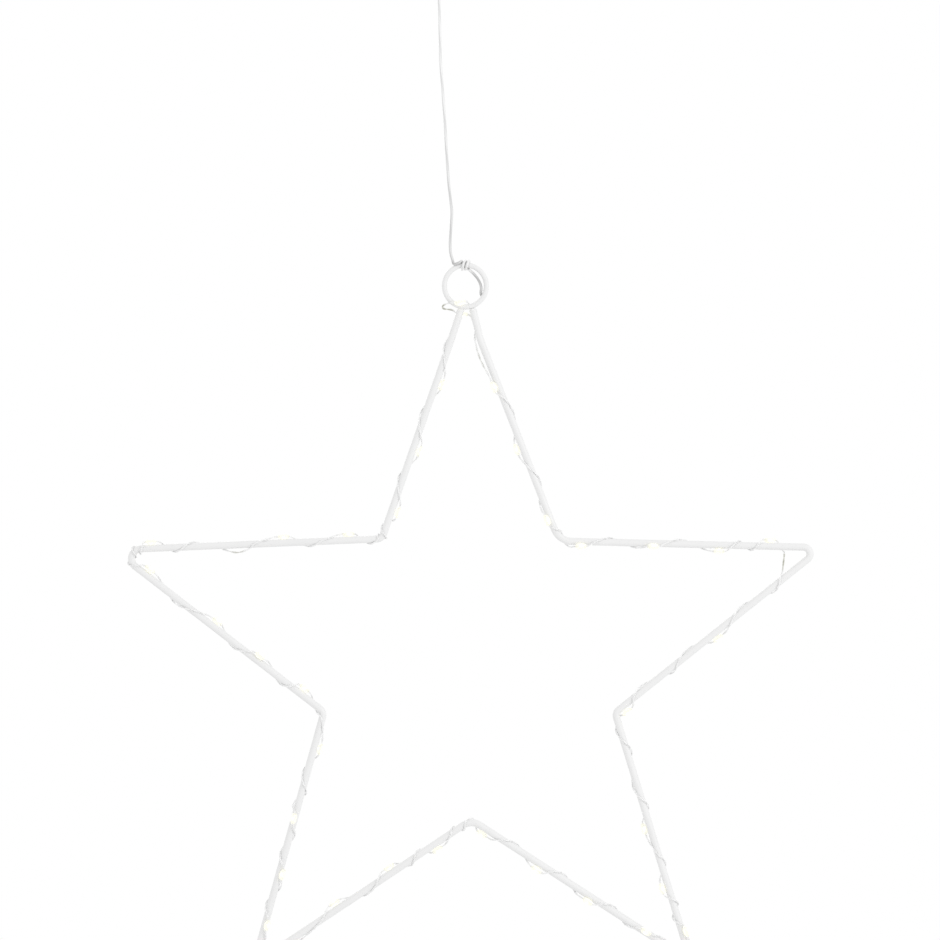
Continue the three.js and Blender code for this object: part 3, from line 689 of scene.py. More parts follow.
@dataclass(frozen=True)
class PaleFloor:
    """A matt floor that fades out at its rim."""

    radius: float
    tone: Colour = grey(0.9)
    shade: Colour = grey(0.88)
    cloud: Span = (9.0, 2.0)
    gloss: float = 0.9
    fade: Span = (0.45, 0.98)
    level: Point = (1.0, 1.0, 0.0)

    def build(self) -> bpy.types.Material:
        """Makes the material.

        Returns:
            The material.
        """
        bench = ShaderBench("pale_floor")
        flat = bench.add("ShaderNodeVectorMath", {"operation": "MULTIPLY"}, {0: bench.place(), 1: self.level})
        reach = bench.add("ShaderNodeVectorMath", {"operation": "LENGTH"}, {0: flat}, "Value")
        start, end = (self.radius * share for share in self.fade)
        return bench.finish(
            Base_Color=bench.tint(bench.noise(*self.cloud), self.tone, self.shade),
            Roughness=self.gloss,
            Alpha=bench.spread(reach, start, end, 1.0, 0.0),
        )


@dataclass(frozen=True)
class Dress:
    """What a piece wears: the record's slot and the material that stands for it."""

    slot: Slot
    material: bpy.types.Material


class Finishes:
    """Every finish of the object, built once."""

    def __init__(self) -> None:
        """Builds them."""
        self.paint = Dress(Slot.PAINT, PowderCoat().build())
        self.strand = Dress(Slot.STRING, SilverStrand().build())
        self.resin = Dress(Slot.DROP, LitResin().build())
        self.chip = Dress(Slot.DROP, LitChip().build())
        # The hanging lead is painted darker from its middle towards the ring.
        shade_places = (0.0, 0.0), (0.45, 0.0), (0.95, 1.0)
        taut = ClearLead("clear_lead", length=0.1813, plain_greys=(0.72, 0.82), shaded_greys=(0.59, 0.7), shade_places=shade_places)
        self.lead = Dress(Slot.LEAD, taut.build())
        # The knotted lead is a lit and shaded copy of the lead: its paler greys paint light on its turns, and
        # painted shade darkens its kink by the join and its run down the ring's inside.
        shade_places = (0.0, 0.6), (0.03, 1.0), (0.1, 0.9), (0.14, 0.0), (0.69, 0.0), (0.74, 1.0), (1.0, 1.0)
        knotted = ClearLead(
            "knotted_lead", length=0.072, plain_greys=(0.77, 0.86), shaded_greys=(0.47, 0.59), shade_places=shade_places, lay=0.012
        )
        self.knotted_lead = Dress(Slot.LEAD, knotted.build())
        self.nickel = Dress(Slot.CONTACT, Nickel().build())
        self.board = Dress(Slot.BOARD, SolderMask().build())
        self.cell = Dress(Slot.CELL, CellSleeve().build())
        white = Moulding("white_moulding", (0.84, 0.84, 0.825), (0.79, 0.79, 0.775))
        self.plastic = Dress(Slot.PLASTIC, white.build())
        black = Moulding("black_moulding", (0.016, 0.016, 0.017), (0.03, 0.03, 0.031))
        self.knob = Dress(Slot.KNOB, black.build())
        rough = {"gloss": 0.5, "grain": (1100.0, 2.0), "relief": (0.00006, 0.6)}
        shrunk = Moulding("shrunk_sleeve", (0.8, 0.8, 0.79), (0.72, 0.72, 0.7), **rough)
        self.sleeve = Dress(Slot.SLEEVE, shrunk.build())
        rubbery = {"gloss": 0.6, "grain": (1800.0, 2.0)}
        soft = Moulding("soft_moulding", (0.74, 0.74, 0.725), (0.66, 0.66, 0.65), **rubbery)
        self.relief = Dress(Slot.RELIEF, soft.build())
        ink = Moulding("grey_ink", (0.2, 0.2, 0.21), (0.28, 0.28, 0.29), gloss=0.5)
        self.ink = Dress(Slot.PLASTIC, ink.build())


# Meshes


def linked(name: str, data: bpy.types.ID) -> bpy.types.Object:
    """Puts data in the scene as an object.

    Args:
        name: the object's name.
        data: its mesh, text, camera or lamp.

    Returns:
        The object.
    """
    made = bpy.data.objects.new(name, data)
    bpy.context.scene.collection.objects.link(made)
    return made


def evaluated(carrier: bpy.types.Object) -> bpy.types.Mesh:
    """Works out an object's text or modifiers.

    Args:
        carrier: the object.

    Returns:
        Its final shape as a plain mesh.
    """
    bpy.context.view_layer.update()
    graph = bpy.context.evaluated_depsgraph_get()
    return bpy.data.meshes.new_from_object(carrier.evaluated_get(graph))


@contextmanager
def worked(mesh: bpy.types.Mesh) -> Iterator[bmesh.types.BMesh]:
    """Opens a mesh for changes and writes them back.

    Args:
        mesh: the mesh.

    Yields:
        The open mesh.
    """
    work = bmesh.new()
    work.from_mesh(mesh)
    yield work
    work.to_mesh(mesh)
    work.free()


def outward(mesh: bpy.types.Mesh) -> bpy.types.Mesh:
    """Turns a closed mesh's faces outwards.

    Args:
        mesh: the mesh.

    Returns:
        The same mesh.
    """
    with worked(mesh) as work:
        bmesh.ops.recalc_face_normals(work, faces=work.faces)
    return mesh


def add_piece(
    name: str,
    mesh: bpy.types.Mesh,
    body: Body,
    dress: Dress,
    nodes: Sequence[str] = (),
    place: Matrix | None = None,
) -> bpy.types.Object:
    """Puts a finished mesh in the scene, riding on its body.

    Args:
        name: the piece's name.
        mesh: its mesh.
        body: the body that it rides on.
        dress: its finish.
        nodes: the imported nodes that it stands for.
        place: what moves the mesh to its place, where it isn't there yet.

    Returns:
        The piece's object.
    """
    if place is not None:
        mesh.transform(place)
    mesh.name = name
    mesh.materials.clear()
    mesh.materials.append(dress.material)
    piece = linked(name, mesh)
    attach(piece, body.value)
    if nodes:
        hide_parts(*nodes)
    LOG.info("%s: %d faces on %s", name, len(mesh.polygons), body.value)
    return piece


def mesh_from(
    points: Sequence[Vector],
    faces: Sequence[Sequence[int]],
    chart: Sequence[Sequence[Span]] = (),
    smooth: bool = True,
) -> bpy.types.Mesh:
    """Makes a mesh.

    Args:
        points: its vertices.
        faces: the vertices of each face.
        chart: the map coordinates of each face's corners.
        smooth: whether its faces are shaded smooth.

    Returns:
        The mesh.
    """
    mesh = bpy.data.meshes.new("shape")
    mesh.from_pydata([tuple(point) for point in points], [], faces)
    if chart:
        values = [value for face in chart for corner in face for value in corner]
        mesh.uv_layers.new(name="chart").data.foreach_set("uv", values)
    mesh.polygons.foreach_set("use_smooth", [smooth] * len(mesh.polygons))
    mesh.validate()
    return mesh


def wall(rows: int, sides: int, closed: bool = False) -> list[list[int]]:
    """Joins rows of points that go round.

    Args:
        rows: how many rows there are.
        sides: how many points each row has.
        closed: whether the last row is joined to the first.

    Returns:
        The faces between them.
    """
    corners = ((0, 0), (0, 1), (1, 1), (1, 0))
    return [
        [(i + up) % rows * sides + (k + on) % sides for up, on in corners]
        for i in range(rows if closed else rows - 1)
        for k in range(sides)
    ]


def patch(k: int, sides: int, low: float, high: float) -> list[Span]:
    """One of a wall's faces on its chart, from where its lower edge lies to where its upper edge lies."""
    left, right = k / sides, (k + 1) / sides
    return [(left, low), (right, low), (right, high), (left, high)]


def runs_of(points: Sequence[Vector]) -> list[float]:
    """Measures along a line of points.

    Args:
        points: the points.

    Returns:
        The length of the line up to each of them.
    """
    runs = [0.0]
    for a, b in zip(points, points[1:]):
        runs.append(runs[-1] + (b - a).length)
    return runs


def sweep(
    line: Sequence[Vector], radius: float, sides: int, first: float = 0.0, last: float = 0.0
) -> bpy.types.Mesh:
    """Makes a round tube along a line, with its length in metres on its chart.

    Args:
        line: the points of its centreline, in millimetres.
        radius: its radius.
        sides: how many sides it has.
        first: how far a dome stands out past the first point, or 0 for a flat end.
        last: the same for the last point.

    Returns:
        The tube's mesh.
    """
    path, radii = list(line), [radius] * len(line)
    for rise in (last, first):
        if rise:
            end, way = path[-1], (path[-1] - path[-2]).normalized()
            for angle in (math.pi / 2 * k / DOME_STEPS for k in range(1, DOME_STEPS + 1)):
                path.append(end + way * (rise * math.sin(angle)))
                radii.append(radius * max(DOME_TIP, math.cos(angle)))
        path.reverse()
        radii.reverse()
    ways = [(b - a).normalized() for a, b in zip(path, path[1:])]
    tangents = [ways[0], *[(a + b).normalized() for a, b in zip(ways, ways[1:])], ways[-1]]
    aside = Vector((0, 1, 0)) if abs(tangents[0].y) < STEEP else Vector((1, 0, 0))
    normal = tangents[0].cross(aside).normalized()
    points: list[Vector] = []
    for at, reach, before, tangent in zip(path, radii, [tangents[0], *tangents], tangents):
        normal = before.rotation_difference(tangent) @ normal
        normal = (normal - tangent * normal.dot(tangent)).normalized()
        across = tangent.cross(normal)
        for k in range(sides):
            angle = FULL_TURN * k / sides
            points.append(at + (normal * math.cos(angle) + across * math.sin(angle)) * reach)
    runs = [run * MM for run in runs_of(path)]
    chart = [patch(k, sides, low, high) for low, high in zip(runs, runs[1:]) for k in range(sides)]
    chart += [[(0.5, end)] * sides for end in (0.0, runs[-1])]
    caps = [list(range(sides))[::-1], list(range(len(points) - sides, len(points)))]
    return mesh_from(points, wall(len(path), sides) + caps, chart)


def revolve(profile: Sequence[Span], sides: int, crease_deg: float = 180.0) -> bpy.types.Mesh:
    """Turns a profile of radius and height about Z. Its chart runs along the profile from 0 to 1.

    Args:
        profile: the radius and height of each stop, from the lower pole to the upper one.
        sides: how many sides it has.
        crease_deg: the angle past which an edge is shaded sharp.

    Returns:
        The turned mesh.
    """
    points: list[Vector] = []
    rings: list[list[int]] = []
    for reach, height in profile:
        count = sides if reach else 1
        rings.append([len(points) + k % count for k in range(sides)])
        for k in range(count):
            angle = FULL_TURN * k / sides
            points.append(Vector((reach * math.cos(angle), reach * math.sin(angle), height)))
    runs = runs_of([Vector(stop) for stop in profile])
    shares = [run / runs[-1] for run in runs]
    faces: list[list[int]] = []
    chart: list[list[Span]] = []
    for lower, upper, low, high in zip(rings, rings[1:], shares, shares[1:]):
        for k in range(sides):
            after = (k + 1) % sides
            corners: dict[int, Span] = {}
            around = lower[k], lower[after], upper[after], upper[k]
            for corner, at in zip(around, patch(k, sides, low, high)):
                corners.setdefault(corner, at)
            faces.append(list(corners))
            chart.append(list(corners.values()))
    mesh = outward(mesh_from(points, faces, chart))
    mesh.set_sharp_from_angle(angle=math.radians(crease_deg))
    return mesh


def moved(profile: Sequence[Span], reach: float, level: float) -> list[Span]:
    """A profile of radius and height, moved outwards and up."""
    return [(reach + radius, level + height) for radius, height in profile]


def eased(points: Sequence[Vector], step: float, passes: int = 0) -> list[Vector]:
    """Lays a smooth curve through points at an even step.

    Args:
        points: the points to go through.
        step: the distance between the curve's own points.
        passes: how often each point is then averaged with its neighbours.

    Returns:
        The curve's points.
    """
    ends = [points[0] * 2 - points[1], *points, points[-1] * 2 - points[-2]]
    fine: list[Vector] = []
    for a, b, c, d in zip(ends, ends[1:], ends[2:], ends[3:]):
        slope, bow, swing = c - a, 2 * a - 5 * b + 4 * c - d, 3 * b - a - 3 * c + d
        count = max(1, round((c - b).length / step * 2))
        for t in (k / count for k in range(count)):
            fine.append(0.5 * (2 * b + slope * t + bow * t**2 + swing * t**3))
    return rounded(resampled([*fine, points[-1]], step), passes)


def resampled(points: Sequence[Vector], step: float) -> list[Vector]:
    """Spaces points evenly along a line of them.

    Args:
        points: the line.
        step: about how far apart the new points are.

    Returns:
        The evenly spaced points.
    """
    runs = runs_of(points)
    count = max(2, round(runs[-1] / step))
    even: list[Vector] = []
    i = 0
    for k in range(count + 1):
        run = runs[-1] * k / count
        while i < len(points) - 2 and runs[i + 1] < run:
            i += 1
        share = (run - runs[i]) / max(TINY, runs[i + 1] - runs[i])
        even.append(points[i].lerp(points[i + 1], min(1.0, share)))
    return even


def rounded(points: Sequence[Vector], passes: int) -> list[Vector]:
    """Averages each point with its neighbours, keeping the ends.

    Args:
        points: the line.
        passes: how often.

    Returns:
        The softened line.
    """
    line = list(points)
    for _ in range(passes):
        line = [line[0], *[(a + b * 2 + c) / 4 for a, b, c in zip(line, line[1:], line[2:])], line[-1]]
    return line


def share_of(value: float, ends: Span) -> float:
    """How far a value is between two ends, held from 0 to 1."""
    return min(max((value - ends[0]) / (ends[1] - ends[0]), 0.0), 1.0)


def nearest_of(points: Sequence[Vector]) -> KDTree:
    """Sorts points for finding the nearest of them.

    Args:
        points: the points.

    Returns:
        The tree that finds it.
    """
    tree = KDTree(len(points))
    for i, point in enumerate(points):
        tree.insert(point, i)
    tree.balance()
    return tree


def softened(solid: bpy.types.Object, edge: float, segments: int = 3) -> bpy.types.Mesh:
    """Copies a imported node's mesh with its sharp edges rounded.

    Args:
        solid: the node's object.
        edge: the width of the rounding in metres.
        segments: how many steps the rounding has.

    Returns:
        The copy.
    """
    mesh = solid.data.copy()
    with worked(mesh) as work:
        bmesh.ops.remove_doubles(work, verts=work.verts, dist=MERGE_DISTANCE)
        bmesh.ops.dissolve_limit(work, angle_limit=FLAT_ANGLE, verts=work.verts, edges=work.edges)
        sharp = [e for e in work.edges if len(e.link_faces) == 2 and e.calc_face_angle(0.0) > SHARP_ANGLE]
        bmesh.ops.bevel(
            work, geom=sharp, offset=edge, segments=segments, profile=0.5, affect="EDGES", clamp_overlap=True
        )
        bmesh.ops.triangulate(work, faces=[f for f in work.faces if len(f.verts) > 4])
    mesh.shade_smooth()
    mesh.set_sharp_from_angle(angle=SHARP_ANGLE)
    return mesh


# The lead


@dataclass
class HangingLead:
    """The lead from the case's strain relief to the star's ring, taut but for its small set bends."""

    finishes: Finishes
    diameter: float = 1.6
    sides: int = 20
    step: float = 0.7
    hinge: Point = (0.91, 0, -268.04)
    route: tuple[Point, ...] = (
        (0, 0, -87), (0, 0, -91), (0, 0, -97), (-0.1, 0, -105), (-0.2, 0, -115.5), (-0.5, 0, -133),
        (-0.9, 0, -150.6), (-0.5, 0, -168.2), (0, 0, -185.9), (0.2, 0, -203.5), (0.6, 0, -221.1),
        (1.3, 0, -232.9), (1.7, 0, -239.9), (1, 0, -247.5), (0, 0, -256.3), (-0.2, 0, -261.5),
        (0.2, 0, -265.3), (0.8, 0, -267.6),
    )  # fmt: skip

    def build(self) -> None:
        path = eased([Vector(point) for point in (*self.route, self.hinge)], self.step)
        radius = self.diameter / 2
        mesh = sweep(path, radius, self.sides, radius, radius)
        lead = add_piece("hanging_lead", mesh, Body.LEAD, self.finishes.lead, ["lead_cable"], PLACE)


# The star's wire. It is laid out flat, as X and Z.


def left_of(way: Vector) -> Vector:
    """The flat direction a quarter turn to the left."""
    return Vector((-way.y, way.x))


def turned(way: Vector, angle: float) -> Vector:
    """A flat direction, turned by an angle."""
    return way * math.cos(angle) + left_of(way) * math.sin(angle)


def upright(flat: Vector) -> Vector:
    """A flat place or direction in the star's plane."""
    return Vector((flat.x, 0, flat.y))


@dataclass
class Stretch:
    """A straight run of the wire, or an arc of it where it has a centre."""

    start: Vector
    direction: Vector
    length: float
    begins: float
    centre: Vector | None = None
    radius: float = 0.0
    bend: float = 0.0

    def at(self, run: float) -> tuple[Vector, Vector]:
        """Follows the stretch.

        Args:
            run: how far.

        Returns:
            The flat place and direction there.
        """
        if self.centre is None:
            return self.start + self.direction * run, self.direction
        side = math.copysign(1.0, self.bend)
        direction = turned(self.direction, side * run / self.radius)
        return self.centre - left_of(direction) * (side * self.radius), direction

    def nearest(self, target: Vector) -> float:
        """Finds where the stretch comes nearest to a flat place.

        Args:
            target: the place.

        Returns:
            How far along the stretch that is.
        """
        if self.centre is None:
            run = (target - self.start).dot(self.direction)
        else:
            ray, first = target - self.centre, self.start - self.centre
            turn = math.atan2(first.cross(ray), first.dot(ray))
            run = math.copysign(1.0, self.bend) * turn * self.radius
        return min(max(0.0, run), self.length)


@dataclass
class StarWire:
    """The star's bent wire and the ring that it is welded to.

    Its corners go clockwise from the top. Each has three shares: how far it is turned past its even place,
    its reach and its bend.
    """

    finishes: Finishes
    arm_count: int = 5
    tip_reach: float = 216.8
    notch_reach: float = 89.9
    diameter: float = 4.2
    tip_bend: float = 5.3
    notch_bend: float = 4.7
    leg_bend: float = 34.0
    leg_knee: float = 25.0
    right_leg_spread: float = 2.6
    left_leg_spread: float = 0.4
    leg_end_inset: float = 1.1
    sides: int = 28
    arc_step: float = math.radians(5)
    straight_step: float = 12.0
    end_dome: float = 0.9
    ring_radius: float = 12.3
    ring_diameter: float = 3.0
    ring_sink: float = 4.1
    ring_shift: float = 0.3
    ring_rows: int = 120
    ring_sides: int = 24
    waist_depth: float = 0.06
    waist_sharpness: float = 9.0
    bead_depth: float = 1.1
    bead_size: Point = (2.27, 2.24, 1.6)
    bead_levels: int = 4
    bead_swell: float = 0.02
    bead_waves: Point = (4, 3, 3)
    corner_shares: tuple[Point, ...] = (
        (-0.021, 0.986, 1), (-0.005, 0.995, 2.4), (-0.011, 1.004, 0.76), (0.006, 0.997, 1), (-0.02, 1.001, 1),
        (-0.017, 1.01, 1.85), (-0.007, 0.998, 1), (0.002, 0.998, 1), (-0.003, 1.011, 1.1), (0.031, 1.001, 1),
    )  # fmt: skip

    def __post_init__(self) -> None:
        """Lays out the corners, the ring and the wire's stretches."""
        tenth = math.pi / self.arm_count
        reaches, bends = (self.tip_reach, self.notch_reach), (self.tip_bend, self.notch_bend)
        self.corners: list[Vector] = []
        stops: list[tuple[Vector, float]] = []
        for i, (aside, reach, bend) in enumerate(self.corner_shares):
            angle, radius = (i + aside) * tenth, reach * reaches[i % 2]
            self.corners.append(Vector((radius * math.sin(angle), radius * math.cos(angle))))
            stops.append((self.corners[i], bend * bends[i % 2]))
        top = self.corners[0]
        self.ring_centre = Vector((top.x + self.ring_shift, 0, top.y - self.ring_sink + self.ring_radius))
        self.last_side = len(self.corners) - 1
        right = (self.corners[1] - top).normalized()
        left = (self.corners[-1] - top).normalized()
        self.stretches = self.lay_out(
            [
                (self.leg_end(right, self.right_leg_spread), 0.0),
                (top + right * self.leg_knee, self.leg_bend),
                *stops[1:],
                (top + left * self.leg_knee, self.leg_bend),
                (self.leg_end(left, -self.left_leg_spread), 0.0),
            ]
        )

    def leg_end(self, direction: Vector, aside: float) -> Vector:
        """Where a leg ends under the ring.

        Args:
            direction: the leg's direction away from the top.
            aside: how far it ends beside the line of its side.

        Returns:
            Its flat place.
        """
        level = self.ring_centre.z - self.ring_radius - self.leg_end_inset
        run = (level - self.corners[0].y) / direction.y
        return self.corners[0] + direction * run + Vector((aside, 0))

    @staticmethod
    def lay_out(stops: Sequence[tuple[Vector, float]]) -> list[Stretch]:
        """Joins stops by straight runs and arcs.

        Args:
            stops: each corner and the radius of its bend.

        Returns:
            The stretches in order.
        """
        stretches: list[Stretch] = []
        start, length = stops[0][0], 0.0
        for i, (at, radius) in enumerate(stops[1:], start=1):
            direction = (at - stops[i - 1][0]).normalized()
            onward = (stops[i + 1][0] - at).normalized() if i + 1 < len(stops) else direction
            bend = math.atan2(direction.cross(onward), direction.dot(onward))
            reach = radius * math.tan(abs(bend) / 2)
            end = at - direction * reach
            stretches.append(Stretch(start, direction, (end - start).length, length))
            length += (end - start).length
            if i + 1 < len(stops):
                centre = end + left_of(direction) * math.copysign(radius, bend)
                arc = radius * abs(bend)
                stretches.append(Stretch(end, direction, arc, length, centre, radius, bend))
                length += arc
                start = at + onward * reach
        return stretches

    def at(self, length: float) -> tuple[Vector, Vector, Vector]:
        """Follows the wire's centreline.

        Args:
            length: how far.

        Returns:
            The place, the direction and the way out of the star there.
        """
        part = [s for s in self.stretches if s.begins <= max(0.0, length)][-1]
        place, way = part.at(min(max(0.0, length) - part.begins, part.length))
        return upright(place), upright(way), upright(left_of(way))

    def station(self, side: int, share: float) -> float:
        """The length along the wire that is nearest to a share of a side.

        Args:
            side: the side's number, clockwise from the top.
            share: the share of it.

        Returns:
            The length.
        """
        target = self.corners[side].lerp(self.corners[(side + 1) % len(self.corners)], share)
        found: list[Span] = []
        for part in self.stretches:
            run = part.nearest(target)
            found.append(((part.at(run)[0] - target).length, part.begins + run))
        return min(found)[1]

    def centreline(self) -> list[Vector]:
        """Lays points along the wire.

        Returns:
            The points.
        """
        points = [upright(self.stretches[0].start)]
        for part in self.stretches:
            straight = part.length / self.straight_step
            steps = math.ceil(straight if part.centre is None else abs(part.bend) / self.arc_step)
            points += [upright(part.at(part.length * k / steps)[0]) for k in range(1, steps + 1)]
        for end, inner in ((0, 1), (-1, -2)):
            points[end] = points[end] + (points[inner] - points[end]).normalized() * self.end_dome
        return points

    def build(self) -> None:
        """Makes the wire, the ring and the weld beads."""
        wire = sweep(self.centreline(), self.diameter / 2, self.sides, self.end_dome, self.end_dome)
        for name, mesh, nodes in (
            ("star_wire", wire, ["star_frame"]),
            ("ring_wire", self.ring_mesh(), ["hanging_ring"]),
            ("weld_beads", self.bead_mesh(), []),
        ):
            add_piece(name, mesh, Body.STAR, self.finishes.paint, nodes, STAR_PLACE)

    def ring_mesh(self) -> bpy.types.Mesh:
        """Makes the ring, with the faint waist of its butt weld hidden under the lead's turns.

        Returns:
            Its mesh.
        """
        points: list[Vector] = []
        for i in range(self.ring_rows):
            turn = 360 * i / self.ring_rows
            off_weld = math.radians(math.remainder(turn, 360)) * self.waist_sharpness
            reach = self.ring_diameter / 2 * (1 - self.waist_depth * math.exp(-(off_weld**2)))
            for k in range(self.ring_sides):
                points.append(self.beside_ring(turn, 360 * k / self.ring_sides, reach))
        return outward(mesh_from(points, wall(self.ring_rows, self.ring_sides, closed=True)))

    def bead_mesh(self) -> bpy.types.Mesh:
        """Makes the weld beads between the two legs and the ring.

        Returns:
            Their mesh.
        """
        mesh = bpy.data.meshes.new("beads")
        first, last = self.stretches[0], self.stretches[-1]
        across, deep, high = self.bead_waves
        with worked(mesh) as work:
            for end, way in ((first.start, first.direction), (last.at(last.length)[0], -last.direction)):
                at = upright(end) + upright(way) * self.bead_depth
                ball = bmesh.ops.create_icosphere(work, subdivisions=self.bead_levels, radius=1.0)
                for vert in ball["verts"]:
                    x, y, z = vert.co
                    swell = 1 + self.bead_swell * math.sin(across * x + high * z) * math.cos(deep * y)
                    vert.co = at + Vector(a * b for a, b in zip(vert.co, self.bead_size)) * swell
        mesh.shade_smooth()
        return mesh

    def beside_ring(self, turn_deg: float, wrap_deg: float, reach: float) -> Vector:
        """Finds a point beside the ring's wire.

        Args:
            turn_deg: how far round the ring, clockwise from its top.
            wrap_deg: how far round its wire, from the ring's outside to its front.
            reach: how far from the middle of its wire.

        Returns:
            The point.
        """
        turn, wrap = math.radians(turn_deg), math.radians(wrap_deg)
        radius = self.ring_radius + reach * math.cos(wrap)
        away = Vector((radius * math.sin(turn), -reach * math.sin(wrap), radius * math.cos(turn)))
        return self.ring_centre + away


# The lead's turns on the ring and the splice


@dataclass
class RingHitch:
    """The lead's turns on the ring, its run down the ring's inside and the sleeve on its splice.

    Each turn has its degrees round the ring and round the ring's wire. Each point of the run has its degrees
    round the ring and, in ring radii, its reach and its depth.
    """

    finishes: Finishes
    star: StarWire
    lead_diameter: float = 1.6
    sides: int = 20
    step: float = 0.3
    easing: int = 11
    seat_gap: float = 0.3
    join_deg: float = -26.2
    join_reach: float = 4.65
    join_way: Point = (0.26, 0, -1.05)
    sleeve_diameter: float = 2.6
    sleeve_length: float = 4.8
    sleeve_turn_deg: float = 145.0
    sleeve_steps: int = 24
    sleeve_mouth: float = 0.68
    sleeve_growth: float = 3.4
    crease_depth: float = 0.03
    crease_rhythm: float = 31.0
    turns_deg: tuple[Span, ...] = (
        (-28.6, 28), (-23.5, 48), (-17.5, 52), (-12, 38), (-9.2, 12), (-8.4, -20), (-8.8, -55), (-9.6, -90),
        (-10.6, -135), (-11.5, -180), (-9.2, -225), (-6, -270), (-2.6, -315), (0.2, -360), (0.4, -405),
        (0.3, -450), (0.1, -495), (0.3, -540), (2.4, -585), (4.6, -630), (6.6, -675), (8, -720), (8.8, -765),
        (9.8, -810), (11, -855), (12.3, -900),
    )  # fmt: skip
    run_shares: tuple[Point, ...] = (
        (25, 0.735, 0), (40, 0.69, 0), (56, 0.682, 0), (72, 0.695, 0), (86, 0.73, 0), (98, 0.762, 0),
        (107, 0.775, 0.01), (113.5, 0.8, 0.06), (120, 0.88, 0.16),
    )  # fmt: skip

    def sleeve_place(self) -> tuple[Vector, Vector]:
        """Finds the sleeve's place behind the ring.

        Returns:
            Its middle and its direction.
        """
        reach = (self.star.ring_diameter + self.sleeve_diameter) / 2 + self.seat_gap
        middle = self.star.beside_ring(self.sleeve_turn_deg, -90, reach)
        turn = math.radians(self.sleeve_turn_deg)
        return middle, Vector((math.cos(turn), 0, -math.sin(turn)))

    def route(self) -> list[Vector]:
        """Lays out the lead's end, from its join to the sleeve.

        Returns:
            The points that it goes through.
        """
        reach = self.star.ring_diameter / 2 + self.seat_gap + self.lead_diameter / 2
        join = self.star.beside_ring(self.join_deg, 0, self.join_reach)
        middle, way = self.sleeve_place()
        into = middle - way * (self.sleeve_length / 2 + self.seat_gap)
        points = [join, join + Vector(self.join_way)]
        points += [self.star.beside_ring(turn, wrap, reach) for turn, wrap in self.turns_deg]
        for turn, share, depth in self.run_shares:
            angle = math.radians(turn)
            away = Vector((share * math.sin(angle), depth, share * math.cos(angle)))
            points.append(self.star.ring_centre + away * self.star.ring_radius)
        return [*points, into - way * self.lead_diameter, into]

    def sleeve_mesh(self) -> bpy.types.Mesh:
        """Makes the shrunk sleeve along Z, narrow at its ends and faintly creased.

        Returns:
            Its mesh.
        """
        half, radius = self.sleeve_length / 2, self.sleeve_diameter / 2
        profile = [(0.0, -half)]
        for share in (k / self.sleeve_steps for k in range(self.sleeve_steps + 1)):
            swell = min(1.0, self.sleeve_mouth + min(share, 1 - share) * self.sleeve_growth)
            crease = 1 - self.crease_depth * (0.5 + 0.5 * math.sin(share * self.crease_rhythm))
            profile.append((radius * swell * crease, half * (2 * share - 1)))
        return revolve([*profile, (0.0, half)], self.sleeve_steps)

    def build(self) -> None:
        """Makes the turns and the sleeve."""
        path = eased(self.route(), self.step, self.easing)
        radius = self.lead_diameter / 2
        lead = sweep(path, radius, self.sides, radius)
        add_piece("lead_end", lead, Body.STAR, self.finishes.knotted_lead, ["lead_turns"], STAR_PLACE)
        middle, way = self.sleeve_place()
        aim = Vector((0, 0, 1)).rotation_difference(way).to_matrix().to_4x4()
        place = STAR_PLACE @ Matrix.Translation(middle) @ aim
        sleeve = self.sleeve_mesh()
        add_piece("shrunk_sleeve", sleeve, Body.STAR, self.finishes.sleeve, ["splice_sleeve"], place)


# The light string


@dataclass
class Stop:
    """A place on the wound string: its length along the wire and its angle round it."""

    length: float
    angle: float
    leaves: bool = False
    drop: str = ""
    centre: float = 0.0


